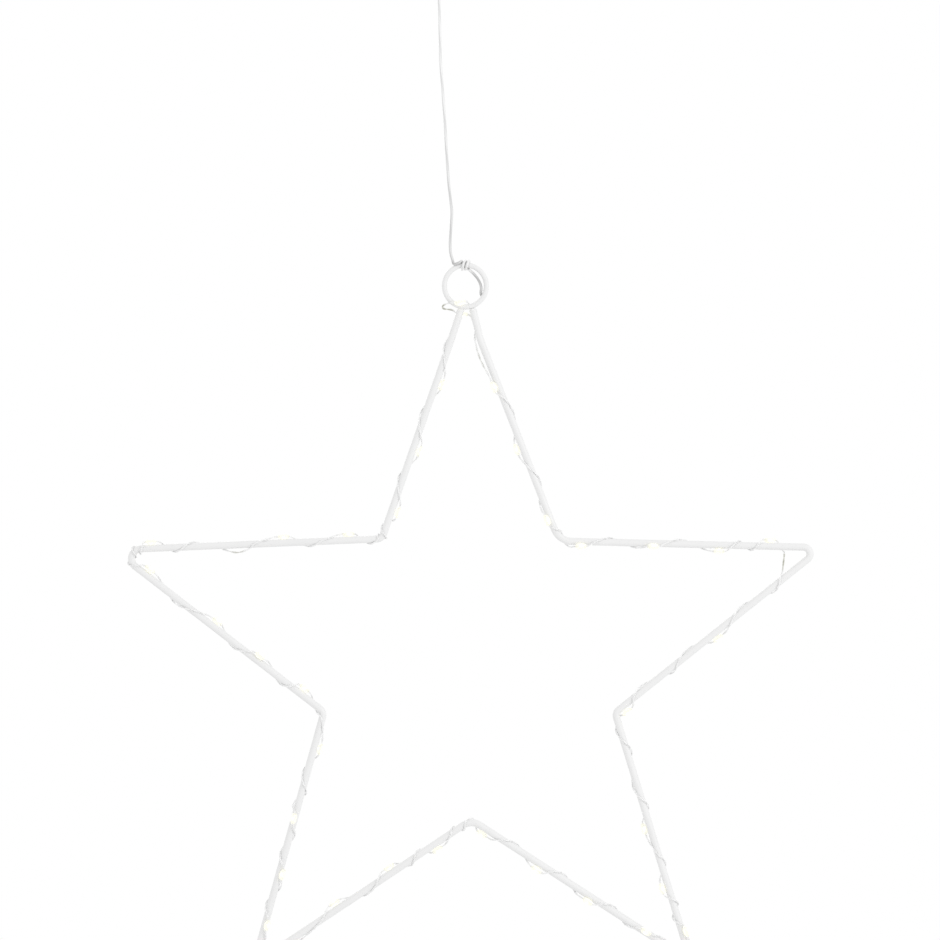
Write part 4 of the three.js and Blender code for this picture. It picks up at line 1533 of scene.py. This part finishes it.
@dataclass
class LightString:
    """The string of two twisted strands, wound round the star's wire, with its lit drops.

    Crossings are where it crosses the wire's front and drops where the drops sit, as shares of each side.
    Hidden drops sit behind the wire. The tip cut is the side and share where the string leaves the wire, and
    the share of the next side where it comes back. Loose runs have a side, two shares of it and their slack.
    An angle is 0 outside the star and falls by the back and the inside to the front.
    """

    finishes: Finishes
    star: StarWire
    hitch: RingHitch
    diameter: float = 1.2
    drop_length: float = 7.0
    drop_diameter: float = 3.8
    lie_gap: float = 0.06
    slack: float = 0.15
    slack_ease: float = 7.0
    slack_rhythm: float = 0.4
    seen_deg: Span = (-25.0, 205.0)
    end_share: float = 0.86
    seat_gap: float = 0.3
    wind_step: float = math.radians(40)
    angle_step: float = math.radians(9)
    length_step: float = 2.0
    top_step: float = 0.4
    fine_step: float = 0.45
    easing: int = 14
    strand: float = 0.56
    strand_sides: int = 7
    strand_spread: float = 1.02
    lay: float = 11.0
    free_from: Span = (3.7, 5.0)
    clear_from: Span = (4.5, 8.0)
    ring_step_deg: int = 5
    neck: float = 0.2
    fullness: float = 2.3
    neck_ease: float = 6.0
    pole: float = 0.0004
    sag: float = 0.05
    glow_power: float = 1.6
    drop_segments: int = 20
    drop_rings: int = 18
    drop_sizes: Span = (0.94, 1.03)
    spin_seed: int = 5
    size_seed: int = 11
    chip_size: Point = (0.7, 1.1, 1.7)
    chip_lift: float = 0.85
    chip_grid: int = 3
    crossings: tuple[tuple[float, ...], ...] = (
        (0.402, 0.703, 0.931),
        (0.103, 0.378, 0.661, 0.752),
        (0.208, 0.434, 0.699, 0.914),
        (0.115, 0.346, 0.573, 0.734, 0.853),
        (0.218, 0.43, 0.639, 0.86),
        (0.031, 0.092, 0.26, 0.433, 0.681),
        (0.183, 0.381, 0.578, 0.713, 0.973),
        (0.158, 0.35, 0.633, 0.904),
        (0.062, 0.102, 0.261, 0.522, 0.772, 0.988),
        (0.02, 0.158, 0.455, 0.752),
    )
    drops: tuple[tuple[float, ...], ...] = (
        (0.355, 0.611, 0.908),
        (0.084, 0.357, 0.608, 0.802),
        (0.3, 0.521, 0.79, 0.963),
        (0.222, 0.461, 0.699, 0.88),
        (0.21, 0.459, 0.688, 0.937),
        (0.172, 0.364, 0.613, 0.842),
        (0.16, 0.362, 0.58, 0.858),
        (0.113, 0.32, 0.527, 0.847),
        (0.14, 0.36, 0.634, 0.876),
        (0.119, 0.376, 0.653),
    )
    hidden: tuple[tuple[int, int], ...] = ((2, 0), (2, 2), (3, 0), (8, 1))
    tip_cut: tuple[int, float, float] = (1, 0.858, 0.178)
    loose_runs: tuple[tuple[int, float, float, float], ...] = ((0, 0.14, 0.335, 1.6), (8, 0.415, 0.505, 1.9))
    ring_pass_deg: tuple[Span, ...] = ((167, -112), (171, -145), (174, -180), (175, -205))
    top_drop_rows: tuple[int, int] = (0, 12)
    top_shares: tuple[Point, ...] = (
        (0.065, -0.358, -0.74), (-0.596, -0.358, -0.835), (-0.7, -0.34, -0.825), (-0.8, -0.29, -0.82),
        (-0.95, -0.2, -0.87), (-1.07, -0.12, -0.93), (-1.125, -0.04, -1), (-1.08, 0.05, -1.075),
        (-0.96, 0.12, -1.1), (-0.8, 0.2, -1.11), (-0.63, 0.27, -1.12), (-0.54, 0.32, -1.17),
        (-0.476, 0.35, -1.26), (0.183, 0.35, -1.358), (0.244, 0.236, -1.431),
    )  # fmt: skip

    def __post_init__(self) -> None:
        """Works out the string's reach, its winding, its centreline and its drops' seats."""
        wire = self.star.diameter / 2 + self.lie_gap
        self.reach = wire + self.strand
        self.drop_reach = wire + self.drop_diameter / 2
        self.seat_half = (self.drop_length + self.diameter) / 2
        self.front = FULL_TURN / 4
        self.inside = 0.75 * FULL_TURN
        self.marks = [(side, share) for side, shares in enumerate(self.crossings) for share in shares]
        self.stops = self.with_drops(self.winding())
        top = self.top_route()
        wound, seats = self.wound_route()
        first = len(top) - len(self.top_shares)
        self.seats = [(top[first + row], top[first + row + 1]) for row in self.top_drop_rows] + seats
        start = eased([*top, wound[0]], self.top_step)
        self.path = rounded(resampled([*start, *wound[1:]], self.fine_step), self.easing)

    def wound(self, length: float, angle: float, reach: float, ahead: float = 0.0) -> Vector:
        """A point at an angle and a reach from the wire's middle, moved straight ahead from there."""
        at, along, out = self.star.at(length)
        return at + out * (reach * math.cos(angle)) + along * ahead + Vector((0, -reach * math.sin(angle), 0))

    def stop(self, side: int, share: float, angle: float, leaves: bool = False) -> Stop:
        """A stop at a share of a side."""
        return Stop(self.star.station(side, share), angle, leaves)

    def inside_at(self, side: int, share: float) -> float:
        """The angle inside the star after the last crossing before a share of a side."""
        last = sum(1 for mark in self.marks if sum(mark) < side + share) - 1
        return self.front - last * FULL_TURN - self.inside

    def winding(self) -> list[Stop]:
        """Lays out the winding without its drops.

        Returns:
            Its stops in order.
        """
        stops = [self.stop(*mark, self.front - k * FULL_TURN) for k, mark in enumerate(self.marks)]
        side, leave, join = self.tip_cut
        cut = self.inside_at(side, leave)
        stops += [self.stop(side, leave, cut, leaves=True), self.stop(side + 1, join, cut)]
        for side, start, end, _ in self.loose_runs:
            angle = self.inside_at(side, start)
            stops.append(self.stop(side, start, angle + self.wind_step / 2))
            stops.append(self.stop(side, end, angle - self.wind_step / 2))
        side, start = self.loose_runs[0][:2]
        first = self.star.station(side, start) - self.drop_length / 2
        stops.append(Stop(first, self.inside_at(side, start) + self.wind_step * 2))
        last_turn = self.front - (len(self.marks) - 1) * FULL_TURN
        stops.append(self.stop(self.star.last_side, self.end_share, last_turn - FULL_TURN / 2))
        return sorted(stops, key=lambda stop: stop.length)

    @staticmethod
    def angle_at(stops: Sequence[Stop], length: float) -> float:
        """Follows the winding's angle.

        Args:
            stops: the winding's stops.
            length: how far along the wire.

        Returns:
            The angle there.
        """
        i = max(1, next(k for k, stop in enumerate(stops) if stop.length >= length))
        a, b = stops[i - 1], stops[i]
        return a.angle + (b.angle - a.angle) * (length - a.length) / (b.length - a.length)

    def to_back(self, angle: float) -> float:
        """The angle nearest to this one that is straight behind the wire."""
        return round((angle + self.front) / FULL_TURN) * FULL_TURN - self.front

    def to_view(self, angle: float) -> float:
        """Turns an angle to where the front view shows it.

        Args:
            angle: the angle.

        Returns:
            The nearest angle that is seen.
        """
        face = angle % FULL_TURN
        low, high = math.radians(self.seen_deg[1]), FULL_TURN + math.radians(self.seen_deg[0])
        if face <= low or face >= high:
            return angle
        return angle + (low - face if face < (low + high) / 2 else high - face)

    def with_drops(self, stops: list[Stop]) -> list[Stop]:
        """Adds each drop as two stops that hold it straight beside the wire.

        Args:
            stops: the winding's stops.

        Returns:
            All the stops in order.
        """
        seats: list[Span] = []
        for side, shares in enumerate(self.drops):
            for place, share in enumerate(shares):
                length = self.star.station(side, share)
                settle = self.to_back if (side, place) in self.hidden else self.to_view
                seats.append((length, settle(self.angle_at(stops, length))))
        clear = self.seat_half + 2 * self.diameter
        kept = [stop for stop in stops if all(abs(stop.length - length) > clear for length, _ in seats)]
        for length, angle in seats:
            for drop, ahead in (("start", -self.seat_half), ("end", self.seat_half)):
                kept.append(Stop(length + ahead, angle, drop=drop, centre=length))
        return sorted(kept, key=lambda stop: stop.length)

    def free_reach(self, length: float, angle: float) -> float:
        """Works out the string's slack and its rise to the drops.

        Args:
            length: how far along the wire.
            angle: the string's angle round it.

        Returns:
            Its reach from the wire's middle.
        """
        free = self.reach + self.slack * (1 + math.sin(self.slack_rhythm * angle)) / 2
        for side, start, end, slack in self.loose_runs:
            share = share_of(length, (self.star.station(side, start), self.star.station(side, end)))
            free = max(free, self.reach + slack * math.sin(math.pi * share))
        near = min(abs(stop.length - length) for stop in self.stops if stop.drop)
        lift = max(0.0, 1 - near / self.slack_ease) ** 2
        return free + max(0.0, self.drop_reach - free) * lift

    def wound_route(self) -> tuple[list[Vector], list[Seat]]:
        """Lays out the wound string.

        Returns:
            Its points, and the two ends of each drop's seat.
        """
        points: list[Vector] = []
        seats: list[Seat] = []
        for stop, after in zip(self.stops, [*self.stops[1:], None]):
            if stop.drop:
                points.append(self.wound(stop.centre, stop.angle, self.drop_reach, stop.length - stop.centre))
            else:
                points.append(self.wound(stop.length, stop.angle, self.free_reach(stop.length, stop.angle)))
            if stop.drop == "end":
                seats.append((points[-2], points[-1]))
            if after is None or stop.drop == "start" or stop.leaves:
                continue
            turn, rise = after.angle - stop.angle, after.length - stop.length
            steps = math.ceil(max(abs(turn) / self.angle_step, rise / self.length_step))
            for k in range(1, steps):
                length, angle = stop.length + rise * k / steps, stop.angle + turn * k / steps
                points.append(self.wound(length, angle, self.free_reach(length, angle)))
        return points, seats

    def top_route(self) -> list[Vector]:
        """Lays out the string from the sleeve over the ring to the first side.

        Returns:
            The points that it goes through.
        """
        reach = self.star.ring_diameter / 2 + self.seat_gap + self.diameter / 2 + self.seat_gap
        middle, way = self.hitch.sleeve_place()
        out = middle + way * (self.hitch.sleeve_length / 2 + self.seat_gap)
        points = [out, out + way * self.diameter]
        points += [self.star.beside_ring(turn, wrap, reach) for turn, wrap in self.ring_pass_deg]
        centre, radius = self.star.ring_centre, self.star.ring_radius
        return points + [centre + Vector(shares) * radius for shares in self.top_shares]

    def build(self) -> None:
        """Makes the strands, the drops and their chips."""
        drops = [f"led_drop_{i + 1:02d}" for i in range(len(self.seats))]
        for name, mesh, dress, nodes in (
            ("twisted_strands", self.strand_mesh(), self.finishes.strand, ["light_string"]),
            ("resin_drops", self.drop_mesh(), self.finishes.resin, drops),
            ("lit_chips", self.chip_mesh(), self.finishes.chip, []),
        ):
            add_piece(name, mesh, Body.STAR, dress, nodes, STAR_PLACE)

    def freedom(self) -> list[float]:
        """How far the string runs free of the star's wire, the ring and its own drops.

        Returns:
            For each point of its centreline, 0 where it lies on them and 1 where it is clear of them.
        """
        held = resampled(self.star.centreline(), self.diameter)
        held += [self.star.beside_ring(turn, 0, 0) for turn in range(0, 360, self.ring_step_deg)]
        wire, drops = nearest_of(held), nearest_of([(a + b) / 2 for a, b in self.seats])
        return [
            share_of(wire.find(point)[2], self.free_from) * share_of(drops.find(point)[2], self.clear_from)
            for point in self.path
        ]

    def strand_mesh(self) -> bpy.types.Mesh:
        """Twists two strands along the string's centreline.

        Returns:
            Their mesh.
        """
        line = bpy.data.meshes.new("line")
        links = [(i, i + 1) for i in range(len(self.path) - 1)]
        line.from_pydata([tuple(point) for point in self.path], links, [])
        line.attributes.new("free", "FLOAT", "POINT").data.foreach_set("value", self.freedom())
        sizes = {"Strand Radius": self.strand / 2, "Lay": self.lay, "Sides": self.strand_sides}
        bench = GeometryBench("twisted_pair", sizes, self.finishes.strand.material)
        run = bench.add("GeometryNodeSplineParameter", output="Length")
        curve = bench.shape("MeshToCurve", Mesh=bench.given("Geometry"))
        twisted = bench.shape("SetCurveTilt", Curve=curve, Tilt=run / bench.given("Lay") * FULL_TURN)
        radius = bench.given("Strand Radius")
        circle = bench.shape("CurvePrimitiveCircle", Resolution=bench.given("Sides"), Radius=radius)
        asides = [bench.vector(X=radius * way * self.strand_spread) for way in (1.0, -1.0)]
        pair = [bench.shape("Transform", Geometry=circle, Translation=aside) for aside in asides]
        profile = bench.shape("JoinGeometry", Geometry=pair)
        tube = bench.shape("CurveToMesh", Curve=twisted, Profile_Curve=profile, Fill_Caps=True)
        return bench.carry_out(bench.shape("SetShadeSmooth", Geometry=tube), line)

    def on_seats(self, bench: GeometryBench, shape: Signal) -> bpy.types.Mesh:
        """Sets a shape on every drop's seat, turned and sized a little differently on each.

        Args:
            bench: the tree.
            shape: the shape, along Z.

        Returns:
            The mesh of them all.
        """
        seats = bpy.data.meshes.new("seats")
        seats.from_pydata([tuple((a + b) / 2) for a, b in self.seats], [], [])
        ways = [value for a, b in self.seats for value in (b - a).normalized()]
        seats.attributes.new("way", "FLOAT_VECTOR", "POINT").data.foreach_set("vector", ways)
        way = bench.add("GeometryNodeInputNamedAttribute", {"data_type": "FLOAT_VECTOR"}, {"Name": "way"})
        aim = bench.add("FunctionNodeAlignRotationToVector", {"axis": "Z"}, {"Vector": way})
        spin = bench.chance((0.0, FULL_TURN), self.spin_seed)
        turn = bench.add("FunctionNodeAxisAngleToRotation", None, {"Angle": spin})
        inputs = {"Rotation": aim, "Rotate By": turn}
        both = bench.add("FunctionNodeRotateRotation", {"rotation_space": "LOCAL"}, inputs)
        size = bench.chance(self.drop_sizes, self.size_seed)
        points = bench.given("Geometry")
        placed = bench.shape("InstanceOnPoints", Points=points, Instance=shape, Rotation=both, Scale=size)
        return bench.carry_out(placed, seats)

    def drop_mesh(self) -> bpy.types.Mesh:
        """Makes the resin drops: ovals drawn out to short necks where the strands go in.

        Returns:
            Their mesh.
        """
        sizes = {"Length": self.drop_length, "Diameter": self.drop_diameter}
        sizes |= {"Neck": self.neck, "Fullness": self.fullness}
        bench = GeometryBench("resin_drops", sizes, self.finishes.resin.material)
        ball = bench.shape("MeshUVSphere", Segments=self.drop_segments, Rings=self.drop_rings, Radius=1.0)
        place = bench.add("GeometryNodeInputPosition")
        across, depth, height = (bench.axis(place, name) for name in "XYZ")
        flat = bench.maths("MAXIMUM", 1 - height * height, self.pole) ** 0.5
        full = bench.maths("MAXIMUM", 1 - abs(height) ** bench.given("Fullness"), 0.0) ** 0.5
        neck = bench.given("Neck") * bench.maths("MINIMUM", flat * self.neck_ease, 1.0)
        girth = bench.maths("MAXIMUM", full, neck) / flat * (bench.given("Diameter") / 2)
        bulge = across * girth * (1 + self.sag * across)
        shaped = bench.vector(X=bulge, Y=depth * girth, Z=height * (bench.given("Length") / 2))
        settings = {"data_type": "FLOAT", "domain": "POINT"}
        glow = {"Geometry": ball, "Name": "glow", "Value": 1 - abs(height) ** self.glow_power}
        glowing = bench.add("GeometryNodeStoreNamedAttribute", settings, glow)
        drop = bench.shape("SetPosition", Geometry=glowing, Position=shaped)
        return self.on_seats(bench, bench.shape("SetShadeSmooth", Geometry=drop))

    def chip_mesh(self) -> bpy.types.Mesh:
        """Makes the small chips on the strands inside the drops.

        Returns:
            Their mesh.
        """
        sizes = dict(zip(("Height", "Width", "Length"), self.chip_size))
        bench = GeometryBench("lit_chips", {**sizes, "Lift": self.chip_lift}, self.finishes.chip.material)
        size = bench.vector(X=bench.given("Height"), Y=bench.given("Width"), Z=bench.given("Length"))
        grid = {f"Vertices_{axis}": self.chip_grid for axis in "XYZ"}
        block = bench.shape("MeshCube", Size=size, **grid)
        lens = bench.shape("SubdivisionSurface", Mesh=block, Level=1)
        aside = bench.vector(X=bench.given("Lift"))
        return self.on_seats(bench, bench.shape("Transform", Geometry=lens, Translation=aside))


# The battery case and what it holds


@dataclass
class BatteryCase:
    """The case's shell, covers, knob, hanging tab and strain relief.

    The relief's profile is given in parts, as radius and height from its mouth, from the outside and the
    inside of the case's wall, and from its top.
    """

    finishes: Finishes
    solids: dict[str, bpy.types.Object]
    shell_edge: float = 0.0007
    cover_edge: float = 0.00035
    knob_edge: float = 0.00012
    tab_edge: float = 0.0005
    letter_size: float = 2.94
    letter_relief: float = 0.12
    words: tuple[tuple[str, float], ...] = (("OFF", -6.6), ("ON", 9.6))
    arrow_rise: float = 20.5
    arrow: tuple[Span, ...] = ((-2.6, 0), (0, 3.2), (2.6, 0), (2.6, 1.2), (0, 4.4), (-2.6, 1.2))
    relief_mouth: tuple[Span, ...] = ((0, 1.5), (0.9, 1.3), (1, 0.3), (1.1, 0), (1.25, 0), (1.4, 0.25))
    relief_collar: tuple[Span, ...] = ((2.7, -1.2), (3.3, -1.2), (3.5, -1), (3.5, -0.2), (3.35, 0), (2.3, 0))
    relief_groove: tuple[Span, ...] = ((2.3, 0), (3.3, 0), (3.5, 0.2))
    relief_top: tuple[Span, ...] = ((3.5, -0.3), (3.2, 0), (0, 0))
    relief_wall: Span = (7.7, 10.3)
    skirt_reach: Span = (1.4, 2.7)
    skirt_inset: Span = (0.3, 1.4)
    skirt_steps: int = 96
    rib_count: int = 7
    rib_depth: float = 0.42
    ribbed: Span = (0.07, 0.93)
    relief_sides: int = 40
    relief_crease_deg: float = 50.0

    def build(self) -> None:
        """Makes the case's pieces."""
        for name, node, edge, body, dress in (
            ("case_shell", "battery_case", self.shell_edge, Body.CASE, self.finishes.plastic),
            ("sliding_cover", "battery_cover", self.cover_edge, Body.COVER, self.finishes.plastic),
            ("switch_plate", "switch_cover", self.cover_edge, Body.CASE, self.finishes.plastic),
            ("switch_knob", "switch_slider", self.knob_edge, Body.SWITCH, self.finishes.knob),
            ("eye_tab", "hanging_tab", self.tab_edge, Body.CASE, self.finishes.plastic),
        ):
            add_piece(name, softened(self.solids[node], edge), body, dress, [node])
        relief = self.relief_mesh()
        add_piece("grooved_relief", relief, Body.CASE, self.finishes.relief, ["strain_relief"], PLACE)
        self.build_marks()

    def relief_mesh(self) -> bpy.types.Mesh:
        """Makes the grooved strain relief, with a funnel for the lead in its mouth.

        Returns:
            Its mesh.
        """
        low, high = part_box("strain_relief")
        mouth, top = low.z / MM, high.z / MM
        outside, inside = (mouth + rise for rise in self.relief_wall)
        foot, head = mouth + self.skirt_inset[0], outside - self.skirt_inset[1]
        narrow, wide = self.skirt_reach
        skirt: list[Span] = []
        for share in (k / self.skirt_steps for k in range(1, self.skirt_steps)):
            rib = max(0.0, math.sin(share * math.pi * self.rib_count)) ** 2
            depth = self.rib_depth * rib if self.ribbed[0] < share < self.ribbed[1] else 0.0
            skirt.append((narrow + (wide - narrow) * share - depth, foot + (head - foot) * share))
        profile = [
            *moved(self.relief_mouth, 0.0, mouth),
            *skirt,
            *moved(self.relief_collar, 0.0, outside),
            *moved(self.relief_groove, 0.0, inside),
            *moved(self.relief_top, 0.0, top),
        ]
        return revolve(profile, self.relief_sides, self.relief_crease_deg)

    def build_marks(self) -> None:
        """Makes the words beside the switch and the arrow on the cover, in low relief."""
        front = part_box("switch_cover")[0].y / MM
        level = sum(corner.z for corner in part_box("switch_slider")) / 2 / MM
        for word, aside in self.words:
            place = PLACE @ Matrix.Translation((aside, front, level)) @ Matrix.Rotation(math.pi / 2, 4, "X")
            add_piece(f"word_{word.lower()}", self.word_mesh(word), Body.CASE, self.finishes.ink, place=place)
        base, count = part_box("battery_cover")[0].z / MM + self.arrow_rise, len(self.arrow)
        levels = front - self.letter_relief, front + self.letter_relief
        corners = [Vector((x, y, base + z)) for y in levels for x, z in self.arrow]
        sheets = [0, 1, 4, 5], [1, 2, 3, 4], [11, 10, 7, 6], [10, 9, 8, 7]
        rim = [[i, i + count, (i + 1) % count + count, (i + 1) % count] for i in range(count)]
        arrow = outward(mesh_from(corners, [*sheets, *rim], smooth=False))
        add_piece("cover_arrow", arrow, Body.COVER, self.finishes.plastic, place=PLACE)

    def word_mesh(self, word: str) -> bpy.types.Mesh:
        """Makes a word in low relief, centred on the origin and facing +Z.

        Args:
            word: the word.

        Returns:
            Its mesh.
        """
        text = bpy.data.curves.new(word, "FONT")
        text.body = word
        text.size = self.letter_size
        text.extrude = self.letter_relief
        text.align_x = text.align_y = "CENTER"
        carrier = linked(word, text)
        mesh = evaluated(carrier)
        bpy.data.objects.remove(carrier)
        return mesh


@dataclass
class PowerPack:
    """The cells, contacts and board inside the case.

    The cell's profile is given in parts, as radius and height from its foot, its shoulder and its nub's foot
    and top. Each spring has its node, its middle, its height and whether it has a tail to the board.
    """

    finishes: Finishes
    solids: dict[str, bpy.types.Object]
    cell_diameter: float = 14.5
    cell_length: float = 50.5
    nub_diameter: float = 5.5
    nub_height: float = 1.2
    cell_foot: tuple[Span, ...] = ((-1.6, 0), (-1.1, 0.15), (-0.35, 0.3), (-0.05, 0.8), (0, 1.4))
    cell_shoulder: tuple[Span, ...] = ((0, -1.4), (-0.05, -0.8), (-0.35, -0.25), (-1.1, 0))
    nub_foot: tuple[Span, ...] = ((0.5, -0.2), (0, 0))
    nub_top: tuple[Span, ...] = ((0, -0.3), (-0.3, 0))
    cell_sides: int = 48
    cell_crease_deg: float = 45.0
    sheet_edge: float = 0.00012
    sheet_segments: int = 2
    wire: float = 0.7
    coil_diameters: Span = (9.0, 6.0)
    coil_turns: int = 3
    coil_steps: int = 40
    coil_sides: int = 14
    tail_steps: int = 4
    springs: tuple[tuple[str, float, float, bool], ...] = (
        ("contact_spring_1", 7.5, 4.9, True),
        ("contact_spring_2", -7.5, 4.1, False),
    )

    def build(self) -> None:
        """Makes the pieces inside the case."""
        for node, turn in (("cell_1", math.pi), ("cell_2", 0.0)):
            low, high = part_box(node)
            place = Matrix.Translation((low + high) / 2) @ PLACE @ Matrix.Rotation(turn, 4, "X")
            name = node.replace("cell", "round_cell")
            add_piece(name, self.cell_mesh(), Body.CASE, self.finishes.cell, [node], place)
        for node in ("bridge_plate", "terminal_plate"):
            plate = softened(self.solids[node], self.sheet_edge, self.sheet_segments)
            add_piece(f"nickel_{node}", plate, Body.CASE, self.finishes.nickel, [node])
        for node, middle, height, has_tail in self.springs:
            coil = self.coil_mesh(node, middle, height, has_tail)
            add_piece(f"coil_{node[-1]}", coil, Body.CASE, self.finishes.nickel, [node], PLACE)
        board = softened(self.solids["circuit_board"], self.sheet_edge, self.sheet_segments)
        add_piece("switch_board", board, Body.CASE, self.finishes.board, ["circuit_board"])

    def cell_mesh(self) -> bpy.types.Mesh:
        """Makes one round cell along Z, its nub upwards.

        Returns:
            Its mesh.
        """
        half, radius, nub = self.cell_length / 2, self.cell_diameter / 2, self.nub_diameter / 2
        can = half - self.nub_height
        profile = [
            (0.0, -half),
            *moved(self.cell_foot, radius, -half),
            *moved(self.cell_shoulder, radius, can),
            *moved(self.nub_foot, nub, can),
            *moved(self.nub_top, nub, half),
            (0.0, half),
        ]
        return revolve(profile, self.cell_sides, self.cell_crease_deg)

    def coil_mesh(self, node: str, middle: float, height: float, has_tail: bool) -> bpy.types.Mesh:
        """Makes one conical contact spring where its node is.

        Args:
            node: the node's name.
            middle: its middle across the case.
            height: its height.
            has_tail: whether it stands up from a tail, and doesn't hang.

        Returns:
            Its mesh.
        """
        low, high = (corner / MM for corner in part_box(node))
        depth = (low.y + high.y) / 2
        foot, way = (high.z - height, 1) if has_tail else (high.z, -1)
        base, free = self.coil_diameters
        steps = self.coil_steps * self.coil_turns
        points: list[Vector] = []
        for share in (k / steps for k in range(steps + 1)):
            angle = share * self.coil_turns * FULL_TURN
            radius = (base + (free - base) * share) / 2
            rise = self.wire / 2 + (height - self.wire) * share
            x, y = middle + radius * math.cos(angle), depth + radius * math.sin(angle)
            points.append(Vector((x, y, foot + way * rise)))
        if has_tail:
            start = Vector((points[0].x, points[0].y, low.z))
            points = [start.lerp(points[0], k / self.tail_steps) for k in range(self.tail_steps)] + points
        return sweep(points, self.wire / 2, self.coil_sides)


# The studio


@dataclass
class Studio:
    """The camera, the white surroundings, the soft lamps and the pale floor.

    The camera's aim is in millimetres and the rest in metres. Each lamp has its name, its place and its power
    in watts.
    """

    frame_width: float = 0.5508
    distance: float = 2.2
    sensor: float = 36.0
    clip: float = 0.05
    aim: Point = (5.55, 0.0, -391.38)
    ambient: float = 0.935
    lamp_side: float = 1.2
    lamp_aim: Point = (0, 0, -0.4)
    lamps: tuple[tuple[str, Point, float], ...] = (
        ("key", (1.5, -1.5, 0.1), 7.5),
        ("back", (-0.6, 1.9, 0.5), 5.0),
    )
    floor_level: float = -0.9
    floor_radius: float = 0.8
    floor_sides: int = 96

    def place_camera(self) -> None:
        """Makes the camera, rolled by the star's lean as the photograph is."""
        lean = math.radians(LEAN_DEG)
        data = bpy.data.cameras.new("camera")
        data.sensor_width = self.sensor
        data.lens = self.sensor * self.distance / self.frame_width
        data.clip_start = self.clip
        right = Vector((math.cos(lean), 0, -math.sin(lean)))
        up = Vector((math.sin(lean), 0, math.cos(lean)))
        back = Vector((0, -1, 0))
        turn = Matrix((right, up, back)).transposed().to_4x4()
        camera = linked("camera", data)
        camera.matrix_world = Matrix.Translation(Vector(self.aim) * MM + back * self.distance) @ turn
        bpy.context.scene.camera = camera
        LOG.info("camera: %.0f mm lens", data.lens)

    def light(self) -> None:
        """Makes the world, the lamps and the floor."""
        bpy.context.scene.view_settings.view_transform = "Standard"
        world = bpy.data.worlds.new("studio")
        bpy.context.scene.world = world
        world.use_nodes = True
        world.node_tree.nodes.clear()
        bench = Bench(world.node_tree)
        rays = ("Camera", "Glossy", "Transmission")
        camera, glossy, through = (bench.add("ShaderNodeLightPath", output=f"Is {ray} Ray") for ray in rays)
        shown = bench.maths("MAXIMUM", bench.maths("MAXIMUM", camera, glossy), through)
        soft, white = (
            bench.add("ShaderNodeBackground", None, {"Color": (*grey(1.0), 1.0), "Strength": strength})
            for strength in (self.ambient, 1.0)
        )
        mixed = bench.add("ShaderNodeMixShader", None, {0: shown, 1: soft, 2: white})
        bench.add("ShaderNodeOutputWorld", None, {"Surface": mixed})
        for name, place, power in self.lamps:
            self.add_lamp(name, Vector(place), power)
        self.add_floor()

    def add_lamp(self, name: str, place: Vector, power: float) -> None:
        """Adds one soft square lamp that faces the object.

        Args:
            name: the lamp's name.
            place: where it stands.
            power: its power in watts.
        """
        data = bpy.data.lights.new(name, "AREA")
        data.size = self.lamp_side
        data.energy = power
        lamp = linked(name, data)
        lamp.location = place
        lamp.rotation_euler = (Vector(self.lamp_aim) - place).to_track_quat("-Z", "Y").to_euler()

    def add_floor(self) -> None:
        """Adds the round pale floor."""
        mesh = bpy.data.meshes.new("floor")
        with worked(mesh) as work:
            bmesh.ops.create_circle(work, cap_ends=True, segments=self.floor_sides, radius=self.floor_radius)
        mesh.transform(Matrix.Translation((0, 0, self.floor_level)))
        mesh.materials.append(PaleFloor(self.floor_radius).build())
        linked("floor", mesh)


def main() -> None:
    """Builds the object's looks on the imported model, then the studio."""
    logging.basicConfig(level=logging.INFO, format="%(name)s: %(message)s")
    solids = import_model()["nodes"]
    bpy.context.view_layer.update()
    studio = Studio()
    studio.place_camera()
    finishes = Finishes()
    star = StarWire(finishes)
    hitch = RingHitch(finishes, star)
    for assembly in (
        HangingLead(finishes),
        star,
        hitch,
        LightString(finishes, star, hitch),
        BatteryCase(finishes, solids),
        PowerPack(finishes, solids),
    ):
        assembly.build()
    studio.light()


if __name__ == "__main__":
    main()
